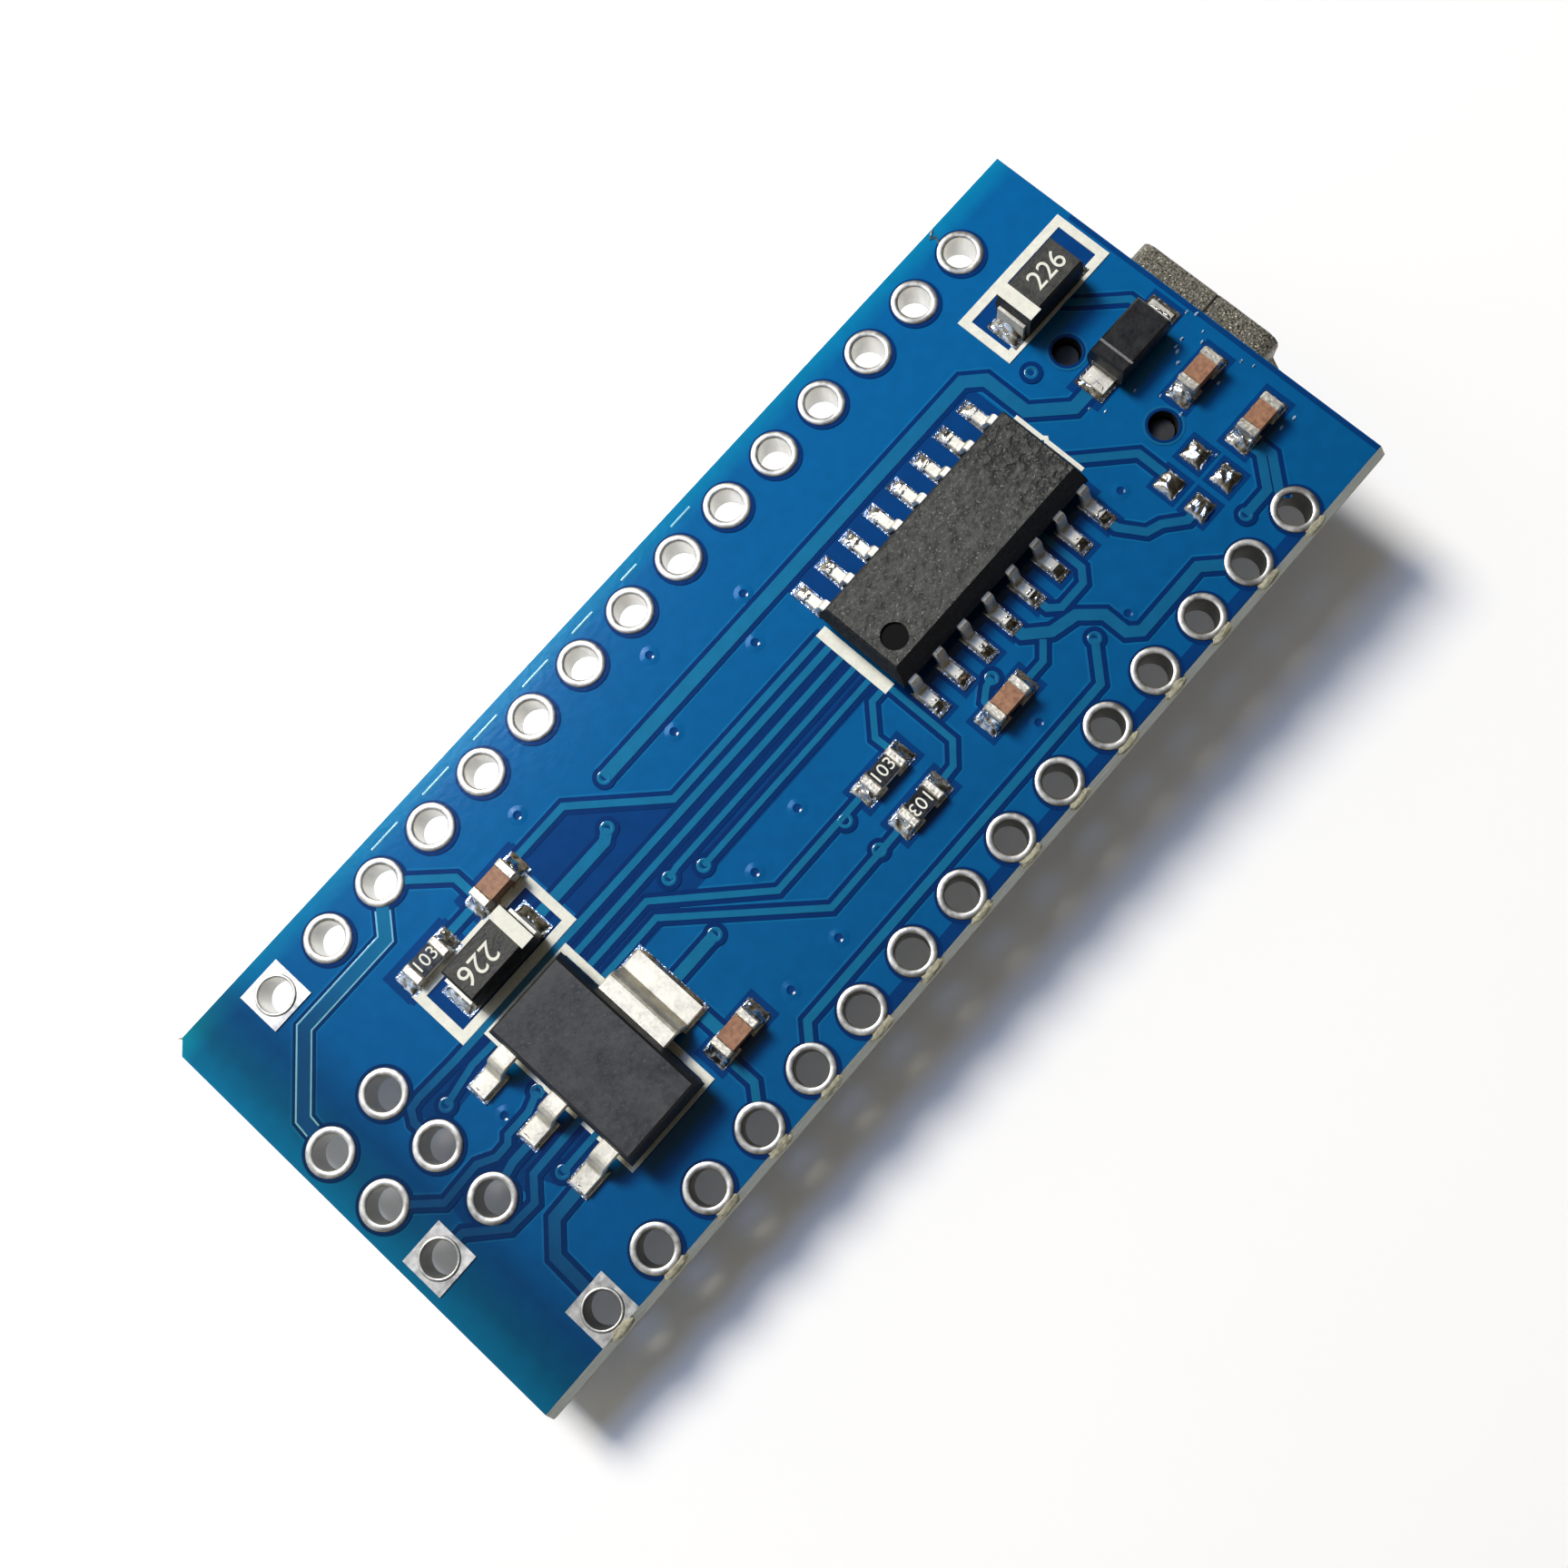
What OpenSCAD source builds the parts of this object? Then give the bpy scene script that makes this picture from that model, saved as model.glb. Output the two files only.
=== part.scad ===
// Thirty-pin microcontroller board with a USB socket.
// The pin side faces +Z and the parts side faces -Z. The USB end is at +X.
// The origin is the middle of the header holes, on the face of the pin side.

/* [Board] */
// Length of the laminate along the header rows
board_l = 42.9; // [41:0.1:46]
// Thickness of the laminate
board_t = 1.2; // [0.8:0.1:1.6]
// Shift of the laminate towards the USB end
board_shift = 0.1; // [-0.5:0.1:0.5]
// Laminate outside the +Y row of holes, to the broken edge
margin_left = 1.68; // [1.5:0.02:2.2]
// Laminate outside the -Y row of holes, to the broken edge
margin_right = 1.08; // [1:0.02:1.8]
// Width of the slope that the score leaves along a long edge
score_w = 0.26; // [0.1:0.02:0.4]
// Depth of the score in each face
score_d = 0.35; // [0.1:0.05:0.38]
// Corner that is broken off at the far end of the +Y edge
corner_chip = 0.45; // [0.1:0.05:0.8]

/* [Plated holes] */
// Distance between neighbouring holes
pin_pitch = 2.54; // [2:0.01:2.6]
// Holes in each header row
pins_per_row = 15; // [10:1:15]
// Distance between the two header rows
row_gap = 15.24; // [14:0.02:18]
// Bore of a finished hole
hole_d = 1.2; // [0.9:0.05:1.3]
// Wall of the plated barrel
plating = 0.05; // [0.03:0.01:0.08]
// Width across a land, round or square
land_d = 1.72; // [1.5:0.02:1.9]
// Height of the tinned lands above the laminate
land_t = 0.05; // [0.03:0.01:0.08]
// Middle of the programming holes from the far edge
isp_inset = 2.43; // [2.3:0.01:3.2]
// Programming holes across the board
isp_across = 3; // [2:1:3]

/* [Serial chip] */
// Middle of the chip along the rows
serial_x = 8.85; // [8:0.05:9.5]
// Middle of the chip across the board
serial_y = 0.3; // [-0.4:0.1:0.6]
// Leads on each side
serial_pins = 8; // [6:1:8]
// Lead pitch
serial_pitch = 1.27; // [1:0.01:1.3]
// Body past the middle of the last lead
serial_end = 0.42; // [0.35:0.01:0.8]
// Body width
serial_w = 3.9; // [3.5:0.1:4.2]
// Body height
serial_h = 1.5; // [1.2:0.05:1.8]
// Span over the lead tips
serial_span = 6; // [5.6:0.1:6.4]
// Lead width
serial_lead_w = 0.42; // [0.3:0.02:0.5]
// Lead thickness
serial_lead_t = 0.2; // [0.12:0.01:0.25]
// Flat foot of a lead
serial_foot = 0.65; // [0.4:0.05:0.7]
// Bevel along the side of the first lead
serial_bevel = 0.4; // [0.2:0.05:0.5]
// Dimple that marks the first lead
dimple_d = 1; // [0.6:0.1:1.2]
// Middle of the dimple from the ends of the body
dimple_inset = [1, 1.3]; // [0.8:0.05:1.6]
// Depth of the dimple
dimple_depth = 0.1; // [0.05:0.01:0.15]

/* [Regulator] */
// Middle of the regulator from the far edge
regulator_inset = 9.35; // [9:0.05:10]
// Middle of the regulator across the board
regulator_y = -2.15; // [-2.4:0.05:-2]
// Body length along its lead row
regulator_l = 6.5; // [6:0.1:6.8]
// Body width
regulator_w = 3.5; // [3.2:0.1:3.8]
// Body height
regulator_h = 1.6; // [1.3:0.05:1.8]
// Air under the body
regulator_lift = 0.06; // [0.02:0.01:0.1]
// Span over the tips of leads and tab
regulator_span = 7; // [6.7:0.1:7.3]
// Lead pitch
regulator_pitch = 2.3; // [2:0.05:2.4]
// Lead width
regulator_lead_w = 0.72; // [0.5:0.02:0.9]
// Tab width
tab_w = 3; // [2.6:0.1:3.3]
// Thickness of the leads and the tab
regulator_lead_t = 0.26; // [0.2:0.02:0.3]
// Flat foot of a lead or the tab
regulator_foot = 0.8; // [0.6:0.05:1]
// Flat shoulder of a lead or the tab beside the body
regulator_shoulder = 0.65; // [0.4:0.05:0.7]

/* [Tantalum capacitors] */
// Length over the terminals
tantalum_l = 3.2; // [2.8:0.1:3.6]
// Body width
tantalum_w = 1.6; // [1.2:0.1:1.8]
// Body height
tantalum_h = 1.5; // [1:0.1:1.7]
// Terminal width
tantalum_terminal_w = 1.2; // [0.9:0.1:1.2]
// Terminal thickness
tantalum_terminal_t = 0.12; // [0.08:0.01:0.15]
// Terminal foot under the body
tantalum_foot = 0.8; // [0.5:0.05:1]
// Height of a terminal up the end of the body
tantalum_rise = 0.95; // [0.7:0.05:1.1]

/* [Diode] */
// Body length
diode_l = 2.75; // [2.4:0.05:2.9]
// Body width
diode_w = 1.6; // [1.4:0.1:1.8]
// Body height
diode_h = 1.1; // [0.9:0.05:1.3]
// Length over the lead tips
diode_span = 4; // [3.6:0.1:4.2]
// Lead width
diode_lead_w = 1; // [0.8:0.05:1.2]
// Lead thickness
diode_lead_t = 0.16; // [0.1:0.01:0.2]
// Lead let into the underside of the body
diode_lead_in = 0.6; // [0.4:0.05:0.8]

/* [Chip capacitors and resistors] */
// Length of a chip part
chip_l = 1.6; // [1.4:0.05:1.7]
// Width of a chip part
chip_w = 0.8; // [0.7:0.05:0.9]
// Height of a ceramic capacitor
capacitor_h = 0.8; // [0.6:0.05:0.9]
// Height of a resistor's ceramic
resistor_h = 0.42; // [0.35:0.01:0.5]
// Length of a metal end
chip_end = 0.34; // [0.2:0.02:0.4]
// Thickness of the metal over the ceramic
end_skin = 0.03; // [0.02:0.01:0.05]
// Height of a resistor's black coat
coat_t = 0.05; // [0.03:0.01:0.08]

/* [Spare solder pads] */
// Side of a pad
spare_pad = 0.96; // [0.8:0.02:1.1]
// Distance between pads along the rows
spare_pitch_x = 1.45; // [1.3:0.05:1.6]
// Distance between pads across the board
spare_pitch_y = 1.34; // [1.2:0.02:1.5]
// Height of the domed solder
spare_dome = 0.34; // [0.2:0.02:0.45]

/* [USB socket] */
// Mouth of the shell past the edge of the board
usb_out = 1.5; // [0.5:0.1:1.8]
// Length of the shell
usb_l = 9.2; // [8.8:0.1:9.6]
// Width of the shell beside the board
usb_narrow = 6.3; // [6:0.1:6.6]
// Width of the shell away from the board
usb_wide = 7.5; // [7.2:0.1:7.9]
// Height of the shell
usb_h = 3.9; // [3.6:0.05:4.2]
// Thickness of the steel sheet
usb_sheet = 0.3; // [0.2:0.02:0.35]
// Outside bend radius of the shell
usb_bend = 0.45; // [0.4:0.05:0.8]
// Distance between the locating pegs
peg_gap = 4.4; // [4:0.1:4.6]
// Peg diameter
peg_d = 0.9; // [0.7:0.05:1]
// Hole in the board for a peg
peg_hole_d = 1.1; // [1.05:0.05:1.3]
// Pegs from the mouth
peg_inset = 5.75; // [5.4:0.05:6]
// Contacts in the socket
usb_contacts = 5; // [4:1:5]
// Contact pitch
contact_pitch = 0.8; // [0.7:0.05:0.85]
// Contact width
contact_w = 0.32; // [0.2:0.02:0.36]
// Contact thickness
contact_t = 0.15; // [0.1:0.01:0.18]
// Tongue width
tongue_w = 4.3; // [4:0.1:4.6]
// Tongue thickness
tongue_t = 0.9; // [0.7:0.05:1.1]
// Tip of the tongue behind the mouth
tongue_inset = 1.1; // [0.8:0.1:1.6]
// Heights at which the sides start and end their step outwards
usb_step = [1.4, 2.15]; // [1.2:0.05:2.4]
// Solder foot of the shell along the board, and past its side
shell_foot_l = 1.7; // [1.4:0.1:2]
shell_foot_out = 1.15; // [0.9:0.05:1.3]
// Middles of the solder feet, from the rear and from the mouth
shell_foot_at = [1.1, 3.2]; // [0.9:0.1:3.6]
// Length, width and slot of a spring finger in the sheet away from the board
finger_l = 3.2; // [2.6:0.1:3.6]
finger_w = 1; // [0.8:0.05:1.2]
finger_slot = 0.25; // [0.2:0.01:0.3]
// Root of a spring finger's slots behind the mouth
finger_inset = 5.2; // [4.6:0.1:5.4]
// Place and width of the seam where the sheet's ends meet
seam_y = 0.3; // [0.2:0.1:0.8]
seam_w = 0.07; // [0.04:0.01:0.1]
// Core behind the pegs' front, and its room in the shell
core_past_pegs = 0.75; // [0.6:0.05:0.9]
core_inset = 0.2; // [0.1:0.05:0.3]
core_room = 0.03; // [0.02:0.01:0.05]
// Peg in the board
peg_reach = 0.74; // [0.4:0.02:0.78]
// Contact foot, its drop behind the shell and its tip behind the tongue's
contact_foot = 0.8; // [0.6:0.05:1]
contact_out = 0.35; // [0.25:0.05:0.45]
contact_tip = 0.4; // [0.2:0.05:0.6]

/* [Controller] */
// Air and land under the body
controller_lift = 0.08; // [0.06:0.01:0.12]
// Dimple that marks the first lead, its place from the sides and its depth
controller_dimple_d = 0.7; // [0.5:0.05:0.9]
controller_dimple_inset = 0.9; // [0.7:0.05:1.1]
controller_dimple_depth = 0.06; // [0.04:0.01:0.1]
// Land past the tip of a lead
controller_land_past = 0.2; // [0.1:0.05:0.25]
// Middle of the controller along the rows
controller_x = 3; // [2:0.1:4]
// Leads on each side
controller_pins = 8; // [6:1:8]
// Lead pitch
controller_pitch = 0.8; // [0.65:0.05:0.8]
// Body past the middle of the last lead
controller_end = 0.7; // [0.5:0.05:0.8]
// Body height
controller_h = 1; // [0.8:0.05:1.2]
// Lead from the side of the body to its tip
controller_reach = 1; // [0.8:0.05:1.1]
// Lead width
controller_lead_w = 0.36; // [0.2:0.02:0.4]
// Lead thickness
controller_lead_t = 0.14; // [0.1:0.01:0.18]
// Turn of the controller on the board
controller_turn = 45; // [45:90:45]

/* [Crystals] */
// Length of a crystal
crystal_l = 3.2; // [2.8:0.1:3.4]
// Width of a crystal
crystal_w = 2.5; // [2.2:0.1:2.6]
// Height of its ceramic base
crystal_h = 0.6; // [0.5:0.05:0.8]
// Wall and floor of the base
crystal_wall = 0.35; // [0.25:0.05:0.4]
// Thickness of the lid
lid_t = 0.12; // [0.08:0.01:0.15]
// Thickness of the quartz blank
blank_t = 0.1; // [0.06:0.01:0.12]
// Room around the quartz blank
blank_room = 0.2; // [0.15:0.01:0.3]

/* [Reset switch] */
// Middle of the switch along the rows
switch_x = -8.2; // [-8.6:0.1:-7.8]
// Housing length across the board
switch_l = 6; // [5.4:0.1:6.4]
// Housing width
switch_w = 3.5; // [3.3:0.1:3.8]
// Housing height
switch_h = 1.5; // [1.45:0.05:1.8]
// Thickness of the cover plate
cover_t = 0.2; // [0.15:0.05:0.3]
// Top of the plunger above the board
plunger_top = 2.5; // [2.3:0.1:3]
// Diameter of the plunger's stem
stem_d = 1.6; // [1.3:0.1:1.8]
// Diameter of the plunger's flange
flange_d = 2.3; // [2.2:0.1:2.4]
// Thickness of the flange
flange_t = 0.32; // [0.2:0.02:0.34]
// Diameter of the cavity in the housing
cavity_d = 2.9; // [2.8:0.1:3]
// Depth of the cavity
cavity_h = 1; // [0.95:0.01:1.1]
// Travel of the plunger
travel = 0.25; // [0.15:0.05:0.3]
// Room between the plunger and what it runs in
slide_gap = 0.12; // [0.08:0.02:0.16]
// Thickness of the snap dome
dome_t = 0.08; // [0.05:0.01:0.1]
// Rise of the snap dome
dome_rise = 0.2; // [0.15:0.01:0.22]
// Room around the snap dome
dome_room = 0.15; // [0.1:0.01:0.2]
// Bevel at the top of the plunger
stem_ease = 0.1; // [0.05:0.01:0.15]
// Housing that shows around the cover plate
cover_inset = 0.05; // [0.03:0.01:0.1]
// Terminal let into the housing
terminal_in = 0.6; // [0.4:0.05:0.7]
// Terminal past each end of the housing
terminal_out = 0.9; // [0.6:0.05:1]
// Terminal width
terminal_w = 1.1; // [0.8:0.05:1.3]
// Terminal thickness
terminal_t = 0.2; // [0.12:0.02:0.25]

/* [Indicator lamps and arrays] */
// Indicator lamps in the row
lamps = 4; // [3:1:4]
// Distance between the lamps
lamp_pitch = 2.5; // [1.8:0.1:2.6]
// Height of a lamp's base
lamp_base_h = 0.25; // [0.2:0.01:0.3]
// Height of a lamp's lens
lamp_lens_h = 0.38; // [0.3:0.02:0.5]
// Resistors in an array
array_n = 4; // [3:1:4]
// Pitch of an array
array_pitch = 0.8; // [0.65:0.05:0.85]
// Width of an array over its ends
array_w = 1.6; // [1.4:0.1:1.8]
// Length and width of an array's metal end
array_end_l = 0.48; // [0.4:0.02:0.55]
array_end_w = 0.3; // [0.2:0.02:0.35]

/* [Places of the parts] */
// First tantalum capacitor, from the USB edge and across the board
tantalum_1_at = [3.35, 4.3]; // [-8:0.05:20]
// Second tantalum capacitor, from the far edge and across
tantalum_2_at = [9.45, 2.75]; // [-8:0.05:20]
// Diode, from the USB edge and across
diode_at = [2.8, 0.62]; // [-8:0.05:20]
// Ceramic capacitors near the USB end, from its edge and across
capacitor_usb_1_at = [2.1, -1.95]; // [-8:0.05:20]
capacitor_usb_2_at = [2.1, -4.6]; // [-8:0.05:20]
// Ceramic capacitor beside the serial chip, from the chip's middle
capacitor_serial_at = [-2.85, -4.8]; // [-8:0.05:20]
// Ceramic capacitors beside the regulator, from the far edge and across
capacitor_far_1_at = [11.25, 4.45]; // [-8:0.05:20]
capacitor_far_2_at = [12.95, -5]; // [-8:0.05:20]
// Chip resistors, from the middle of the header rows
resistor_1_at = [1.4, -2.92]; // [-8:0.05:20]
resistor_2_at = [1.4, -4.6]; // [-8:0.05:20]
// Chip resistor at the far end, from its edge and across
resistor_far_at = [7.85, 4.45]; // [-8:0.05:20]
// Middle of the spare pads, from the USB edge and across
spare_at = [5.08, -4.42]; // [-8:0.01:20]
// Crystal of the controller, from the controller's middle
crystal_controller_at = [-6.6, 4.2]; // [-8:0.05:20]
// Crystal of the serial chip, from the USB edge and across
crystal_serial_at = [10.95, 4.2]; // [-8:0.05:20]
// Capacitors beside the controller, from its middle
under_capacitor_at = [-3.7, 5.4]; // [-8:0.05:20]
// Capacitors beside the USB socket, from the USB edge and across
under_capacitor_usb_1_at = [10.75, -3.1]; // [-8:0.05:20]
under_capacitor_usb_2_at = [10.75, -4.9]; // [-8:0.05:20]
// Array of the controller, from its middle
array_controller_at = [-7.2, -4.3]; // [-8:0.05:20]

/* [Hidden] */
$fn = 48;
// Space left at drawn cuts, so that no cut ends on a face
cut = 1;
x_far = board_shift - board_l / 2;
x_usb = board_shift + board_l / 2;
y_left = row_gap / 2 + margin_left;
y_right = -row_gap / 2 - margin_right;
row_l = (pins_per_row - 1) * pin_pitch;
isp_x = x_far + isp_inset;
barrel_d = hole_d + 2 * plating;
// Small flat that breaks a sharp edge, on lands, on moulded bodies and on chip parts
land_ease = 0.02;
mould_ease = 0.08;
chip_ease = 0.05;
// Slope of a moulded side, as its run over half the body's height, on chips and on small bodies
draft_run = 0.16;
small_draft_run = 0.06;
// Land past the tip of a lead, beside it and behind its foot
land_past = 0.45;
regulator_land_past = 0.15;
land_beside = 0.09;
land_behind = 0.25;
serial_l = (serial_pins - 1) * serial_pitch + 2 * serial_end;
controller_w = (controller_pins - 1) * controller_pitch + 2 * controller_end;
regulator_x = x_far + regulator_inset;
function from_usb(at, turn = 0) = [x_usb - at.x, at.y, turn];
function from_far(at, turn = 0) = [x_far + at.x, at.y, turn];
function from_part(x, y, at, turn = 0) = [x + at.x, y + at.y, turn];
tantalum_spots = [from_usb(tantalum_1_at, 180), from_far(tantalum_2_at)];
diode_spot = from_usb(diode_at);
capacitor_spots = [
    from_usb(capacitor_usb_1_at), from_usb(capacitor_usb_2_at),
    from_part(serial_x, serial_y, capacitor_serial_at),
    from_far(capacitor_far_1_at), from_far(capacitor_far_2_at)
];
resistor_spots = [
    from_part(0, 0, resistor_1_at), from_part(0, 0, resistor_2_at), from_far(resistor_far_at)
];
spare_spot = from_usb(spare_at);
usb_mouth = x_usb + usb_out;
usb_rear = usb_mouth - usb_l;
peg_x = usb_mouth - peg_inset;
crystal_spots = [from_part(controller_x, 0, crystal_controller_at), from_usb(crystal_serial_at)];
under_capacitor_spots = [
    from_part(controller_x, 0, under_capacitor_at),
    from_part(controller_x, 0, [under_capacitor_at.x, -under_capacitor_at.y]),
    from_usb(under_capacitor_usb_1_at), from_usb(under_capacitor_usb_2_at)
];
// The lamps and their array share the room between the programming holes and the switch
lamp_room = chip_l + 2 * (land_past - land_beside);
array_room = array_w + 2 * array_end_w;
far_room_x = isp_x + (pin_pitch + land_d) / 2;
far_gap = (switch_x - switch_w / 2 - far_room_x - array_room - lamp_room) / 3;
array_x = far_room_x + far_gap + array_room / 2;
lamp_x = array_x + array_room / 2 + far_gap + lamp_room / 2;
array_spots = [[array_x, 0, 90], from_part(controller_x, 0, array_controller_at)];
array_l = array_n * array_pitch;
// Share of a gull-wing lead's reach before it bends down, as drawn and at most, and of its thickness in a bend
shoulder_share = 0.45;
shoulder_most = 0.75;
bend_share = 0.55;
shell_foot_x = [usb_rear + shell_foot_at[0], usb_mouth - shell_foot_at[1]];
tongue_z = land_t + usb_h / 2;
core_back = usb_rear + core_inset;
core_front = peg_x + core_past_pegs;
tongue_tip = usb_mouth - tongue_inset;
contact_drop = usb_rear - contact_out;
controller_seat = land_t + controller_lift;
switch_seat = land_t + terminal_t / 2;
housing_top = switch_seat + switch_h;
cavity_floor = housing_top - cavity_h;
dome_d = cavity_d - 2 * dome_room;

// Places on the board

// Puts its children on the parts side, drawn with +Z away from the board
module under(x = 0, y = 0, turn = 0) {
    translate([x, y, -board_t]) rotate([180, 0, turn]) children();
}

// Puts its children on the pin side
module on_top(x, y, turn = 0) {
    translate([x, y, 0]) rotate(turn) children();
}

// One copy at each place of a list of [x, y, turn]
module spots_on_top(list) {
    for (s = list) on_top(s.x, s.y, s.z) children();
}

module spots_under(list) {
    for (s = list) under(s.x, s.y, s.z) children();
}

// One copy in front and one turned half round, for the two ends or sides of a part
module both_ends() {
    for (turn = [0, 180]) rotate(turn) children();
}

module in_row(count, pitch) {
    for (i = [0 : count - 1]) translate([(i - (count - 1) / 2) * pitch, 0, 0]) children();
}

// Shared shapes

// Draws a side view given as [y, z] along X, centred on the X axis
module along_x(length) {
    rotate([90, 0, 90]) linear_extrude(length, center = true) children();
}

// Draws a side view given as [x, z] along Y, centred on the Y axis
module along_y(length) {
    rotate([90, 0, 0]) linear_extrude(length, center = true) children();
}

function eased_rectangle(w, z0, z1, e) = [
    [-w / 2 + e, z0], [w / 2 - e, z0], [w / 2, z0 + e], [w / 2, z1 - e],
    [w / 2 - e, z1], [-w / 2 + e, z1], [-w / 2, z1 - e], [-w / 2, z0 + e]
];

// Block whose edges are all broken by a small flat
module eased_block(l, w, z0, z1, e) {
    intersection() {
        along_x(l) polygon(eased_rectangle(w, z0, z1, e));
        along_y(w) polygon(eased_rectangle(l, z0, z1, e));
        translate([0, 0, z0]) linear_extrude(z1 - z0) polygon(eased_rectangle(l, -w / 2, w / 2, e));
    }
}

// Side view of a moulded body: it slopes in above and below the parting line,
// and its top edges are eased, the one at the negative end by a bevel where it has one
function moulded_side(w, z0, z1, run, bevel) =
    let (mid = (z0 + z1) / 2, e = mould_ease, half = w / 2)
    [
        [-half + run, z0], [half - run, z0], [half, mid], [half - run, z1 - e],
        [half - run - e, z1], [-half + run + bevel, z1], [-half + run, z1 - bevel], [-half, mid]
    ];

module moulded_body(l, w, z0, z1, run = draft_run, bevel = mould_ease) {
    intersection() {
        along_x(l) polygon(moulded_side(w, z0, z1, run, bevel));
        along_y(w) polygon(moulded_side(l, z0, z1, run, mould_ease));
    }
}

// Side view of a gull-wing lead, from the body's side at y0 to its tip at y1
function gull_wing(y0, y1, shoulder_z, t, foot, share = shoulder_share) =
    let (ankle = y1 - foot, shoulder = y0 + (ankle - y0) * share, k = t * bend_share)
    [
        [y0, shoulder_z], [shoulder - k, shoulder_z], [ankle - k, land_t], [y1, land_t],
        [y1, land_t + t], [ankle, land_t + t], [shoulder, shoulder_z + t], [y0, shoulder_z + t]
    ];

// Tinned land, drawn from its middle
module land(l, w) {
    translate([-l / 2, -w / 2, 0]) cube([l, w, land_t]);
}

// Land under a gull-wing foot whose tip is at y1
module foot_land(y1, foot, w, past = land_past) {
    l = foot + past + land_behind;
    translate([0, y1 + past - l / 2, 0]) land(w, l);
}

// Board and plated holes

module header_spots() {
    for (side = [1, -1], i = [0 : pins_per_row - 1])
        translate([i * pin_pitch - row_l / 2, side * row_gap / 2, 0]) {
            $square = i == 0;
            children();
        }
}

module isp_spots() {
    for (i = [0, 1], j = [0 : isp_across - 1])
        translate([isp_x + (i - 0.5) * pin_pitch, (j - (isp_across - 1) / 2) * pin_pitch, 0]) {
            $square = i == 0 && j == 0;
            children();
        }
}

module peg_spots() {
    for (side = [1, -1]) translate([peg_x, side * peg_gap / 2, 0]) children();
}

module through_hole(d) {
    translate([0, 0, -board_t - cut]) cylinder(d = d, h = board_t + 2 * cut);
}

function board_section() = [
    [y_right + score_w, -board_t], [y_left - score_w, -board_t], [y_left, score_d - board_t],
    [y_left, -score_d], [y_left - score_w, 0], [y_right + score_w, 0],
    [y_right, -score_d], [y_right, score_d - board_t]
];

module board() {
    color("#0a4f96") difference() {
        translate([board_shift, 0, 0]) along_x(board_l) polygon(board_section());
        header_spots() through_hole(barrel_d);
        isp_spots() through_hole(barrel_d);
        peg_spots() through_hole(peg_hole_d);
        translate([x_far, y_left - score_w, -board_t - cut]) rotate(45)
            translate([-corner_chip, -corner_chip, 0] / sqrt(2))
                cube([corner_chip * sqrt(2), corner_chip * sqrt(2), board_t + 2 * cut]);
    }
}

// Side view of a plated hole as [radius, z]: a barrel with a land on each face
function plated_side() =
    let (r = hole_d / 2, wall = barrel_d / 2, edge = land_d / 2, e = land_ease, low = -board_t)
    [
        [r, low - land_t + e], [r + e, low - land_t], [edge - e, low - land_t], [edge, low],
        [wall, low], [wall, 0], [edge, 0], [edge - e, land_t], [r + e, land_t], [r, land_t - e]
    ];

module plated_hole() {
    rotate_extrude() polygon(plated_side());
    if ($square)
        for (z = [0, -board_t - land_t])
            translate([0, 0, z]) difference() {
                land(land_d, land_d);
                translate([0, 0, -cut]) cylinder(d = barrel_d, h = land_t + 2 * cut);
            }
}

// Keeps the lands that meet a scored edge within the flat face
module within_face() {
    face_w = y_left - y_right - 2 * score_w;
    intersection() {
        children();
        translate([x_far, y_right + score_w, -board_t - cut]) cube([board_l, face_w, board_t + 2 * cut]);
    }
}

module header_plated_holes() {
    color("#d8d6d0") within_face() header_spots() plated_hole();
}

module isp_plated_holes() {
    color("#d8d6d0") within_face() isp_spots() plated_hole();
}

// Serial chip

module serial_spot() {
    on_top(serial_x, serial_y) children();
}

module serial_chip_body() {
    top = land_t + serial_h + serial_lead_t / 2;
    color("#26282b") serial_spot() difference() {
        moulded_body(serial_l, serial_w, land_t + serial_lead_t / 2, top, bevel = serial_bevel);
        translate([dimple_inset.x - serial_l / 2, dimple_inset.y - serial_w / 2, top - dimple_depth])
            cylinder(d = dimple_d, h = cut);
    }
}

module serial_chip_leads() {
    y0 = serial_w / 2;
    shoulder_z = land_t + serial_h / 2;
    color("#c9c9c6") serial_spot() both_ends() in_row(serial_pins, serial_pitch)
        along_x(serial_lead_w)
            polygon(gull_wing(y0, serial_span / 2, shoulder_z, serial_lead_t, serial_foot));
}

// Regulator: its lead row faces -X and its tab faces +X

module regulator_spot() {
    on_top(regulator_x, regulator_y) children();
}

module regulator_body() {
    z0 = land_t + regulator_lift;
    color("#1d1e20") regulator_spot() moulded_body(regulator_w, regulator_l, z0, z0 + regulator_h);
}

module regulator_wing(w) {
    mid = land_t + regulator_lift + regulator_h / 2;
    reach = (regulator_span - regulator_w) / 2 - regulator_foot;
    along_x(w) polygon(gull_wing(
        regulator_w / 2, regulator_span / 2, mid - regulator_lead_t / 2, regulator_lead_t, regulator_foot,
        min(regulator_shoulder / reach, shoulder_most)
    ));
}

module regulator_leads() {
    color("#c9c9c6") regulator_spot() rotate(90) in_row(3, regulator_pitch)
        regulator_wing(regulator_lead_w);
}

module regulator_tab() {
    color("#c9c9c6") regulator_spot() rotate(-90) regulator_wing(tab_w);
}

// Tantalum capacitors: each terminal is a strip folded up the end of the body

module tantalum_bodies() {
    z0 = land_t + tantalum_terminal_t;
    color("#222325") spots_on_top(tantalum_spots)
        moulded_body(
            tantalum_l - 2 * tantalum_terminal_t, tantalum_w, z0, z0 + tantalum_h, small_draft_run
        );
}

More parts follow.
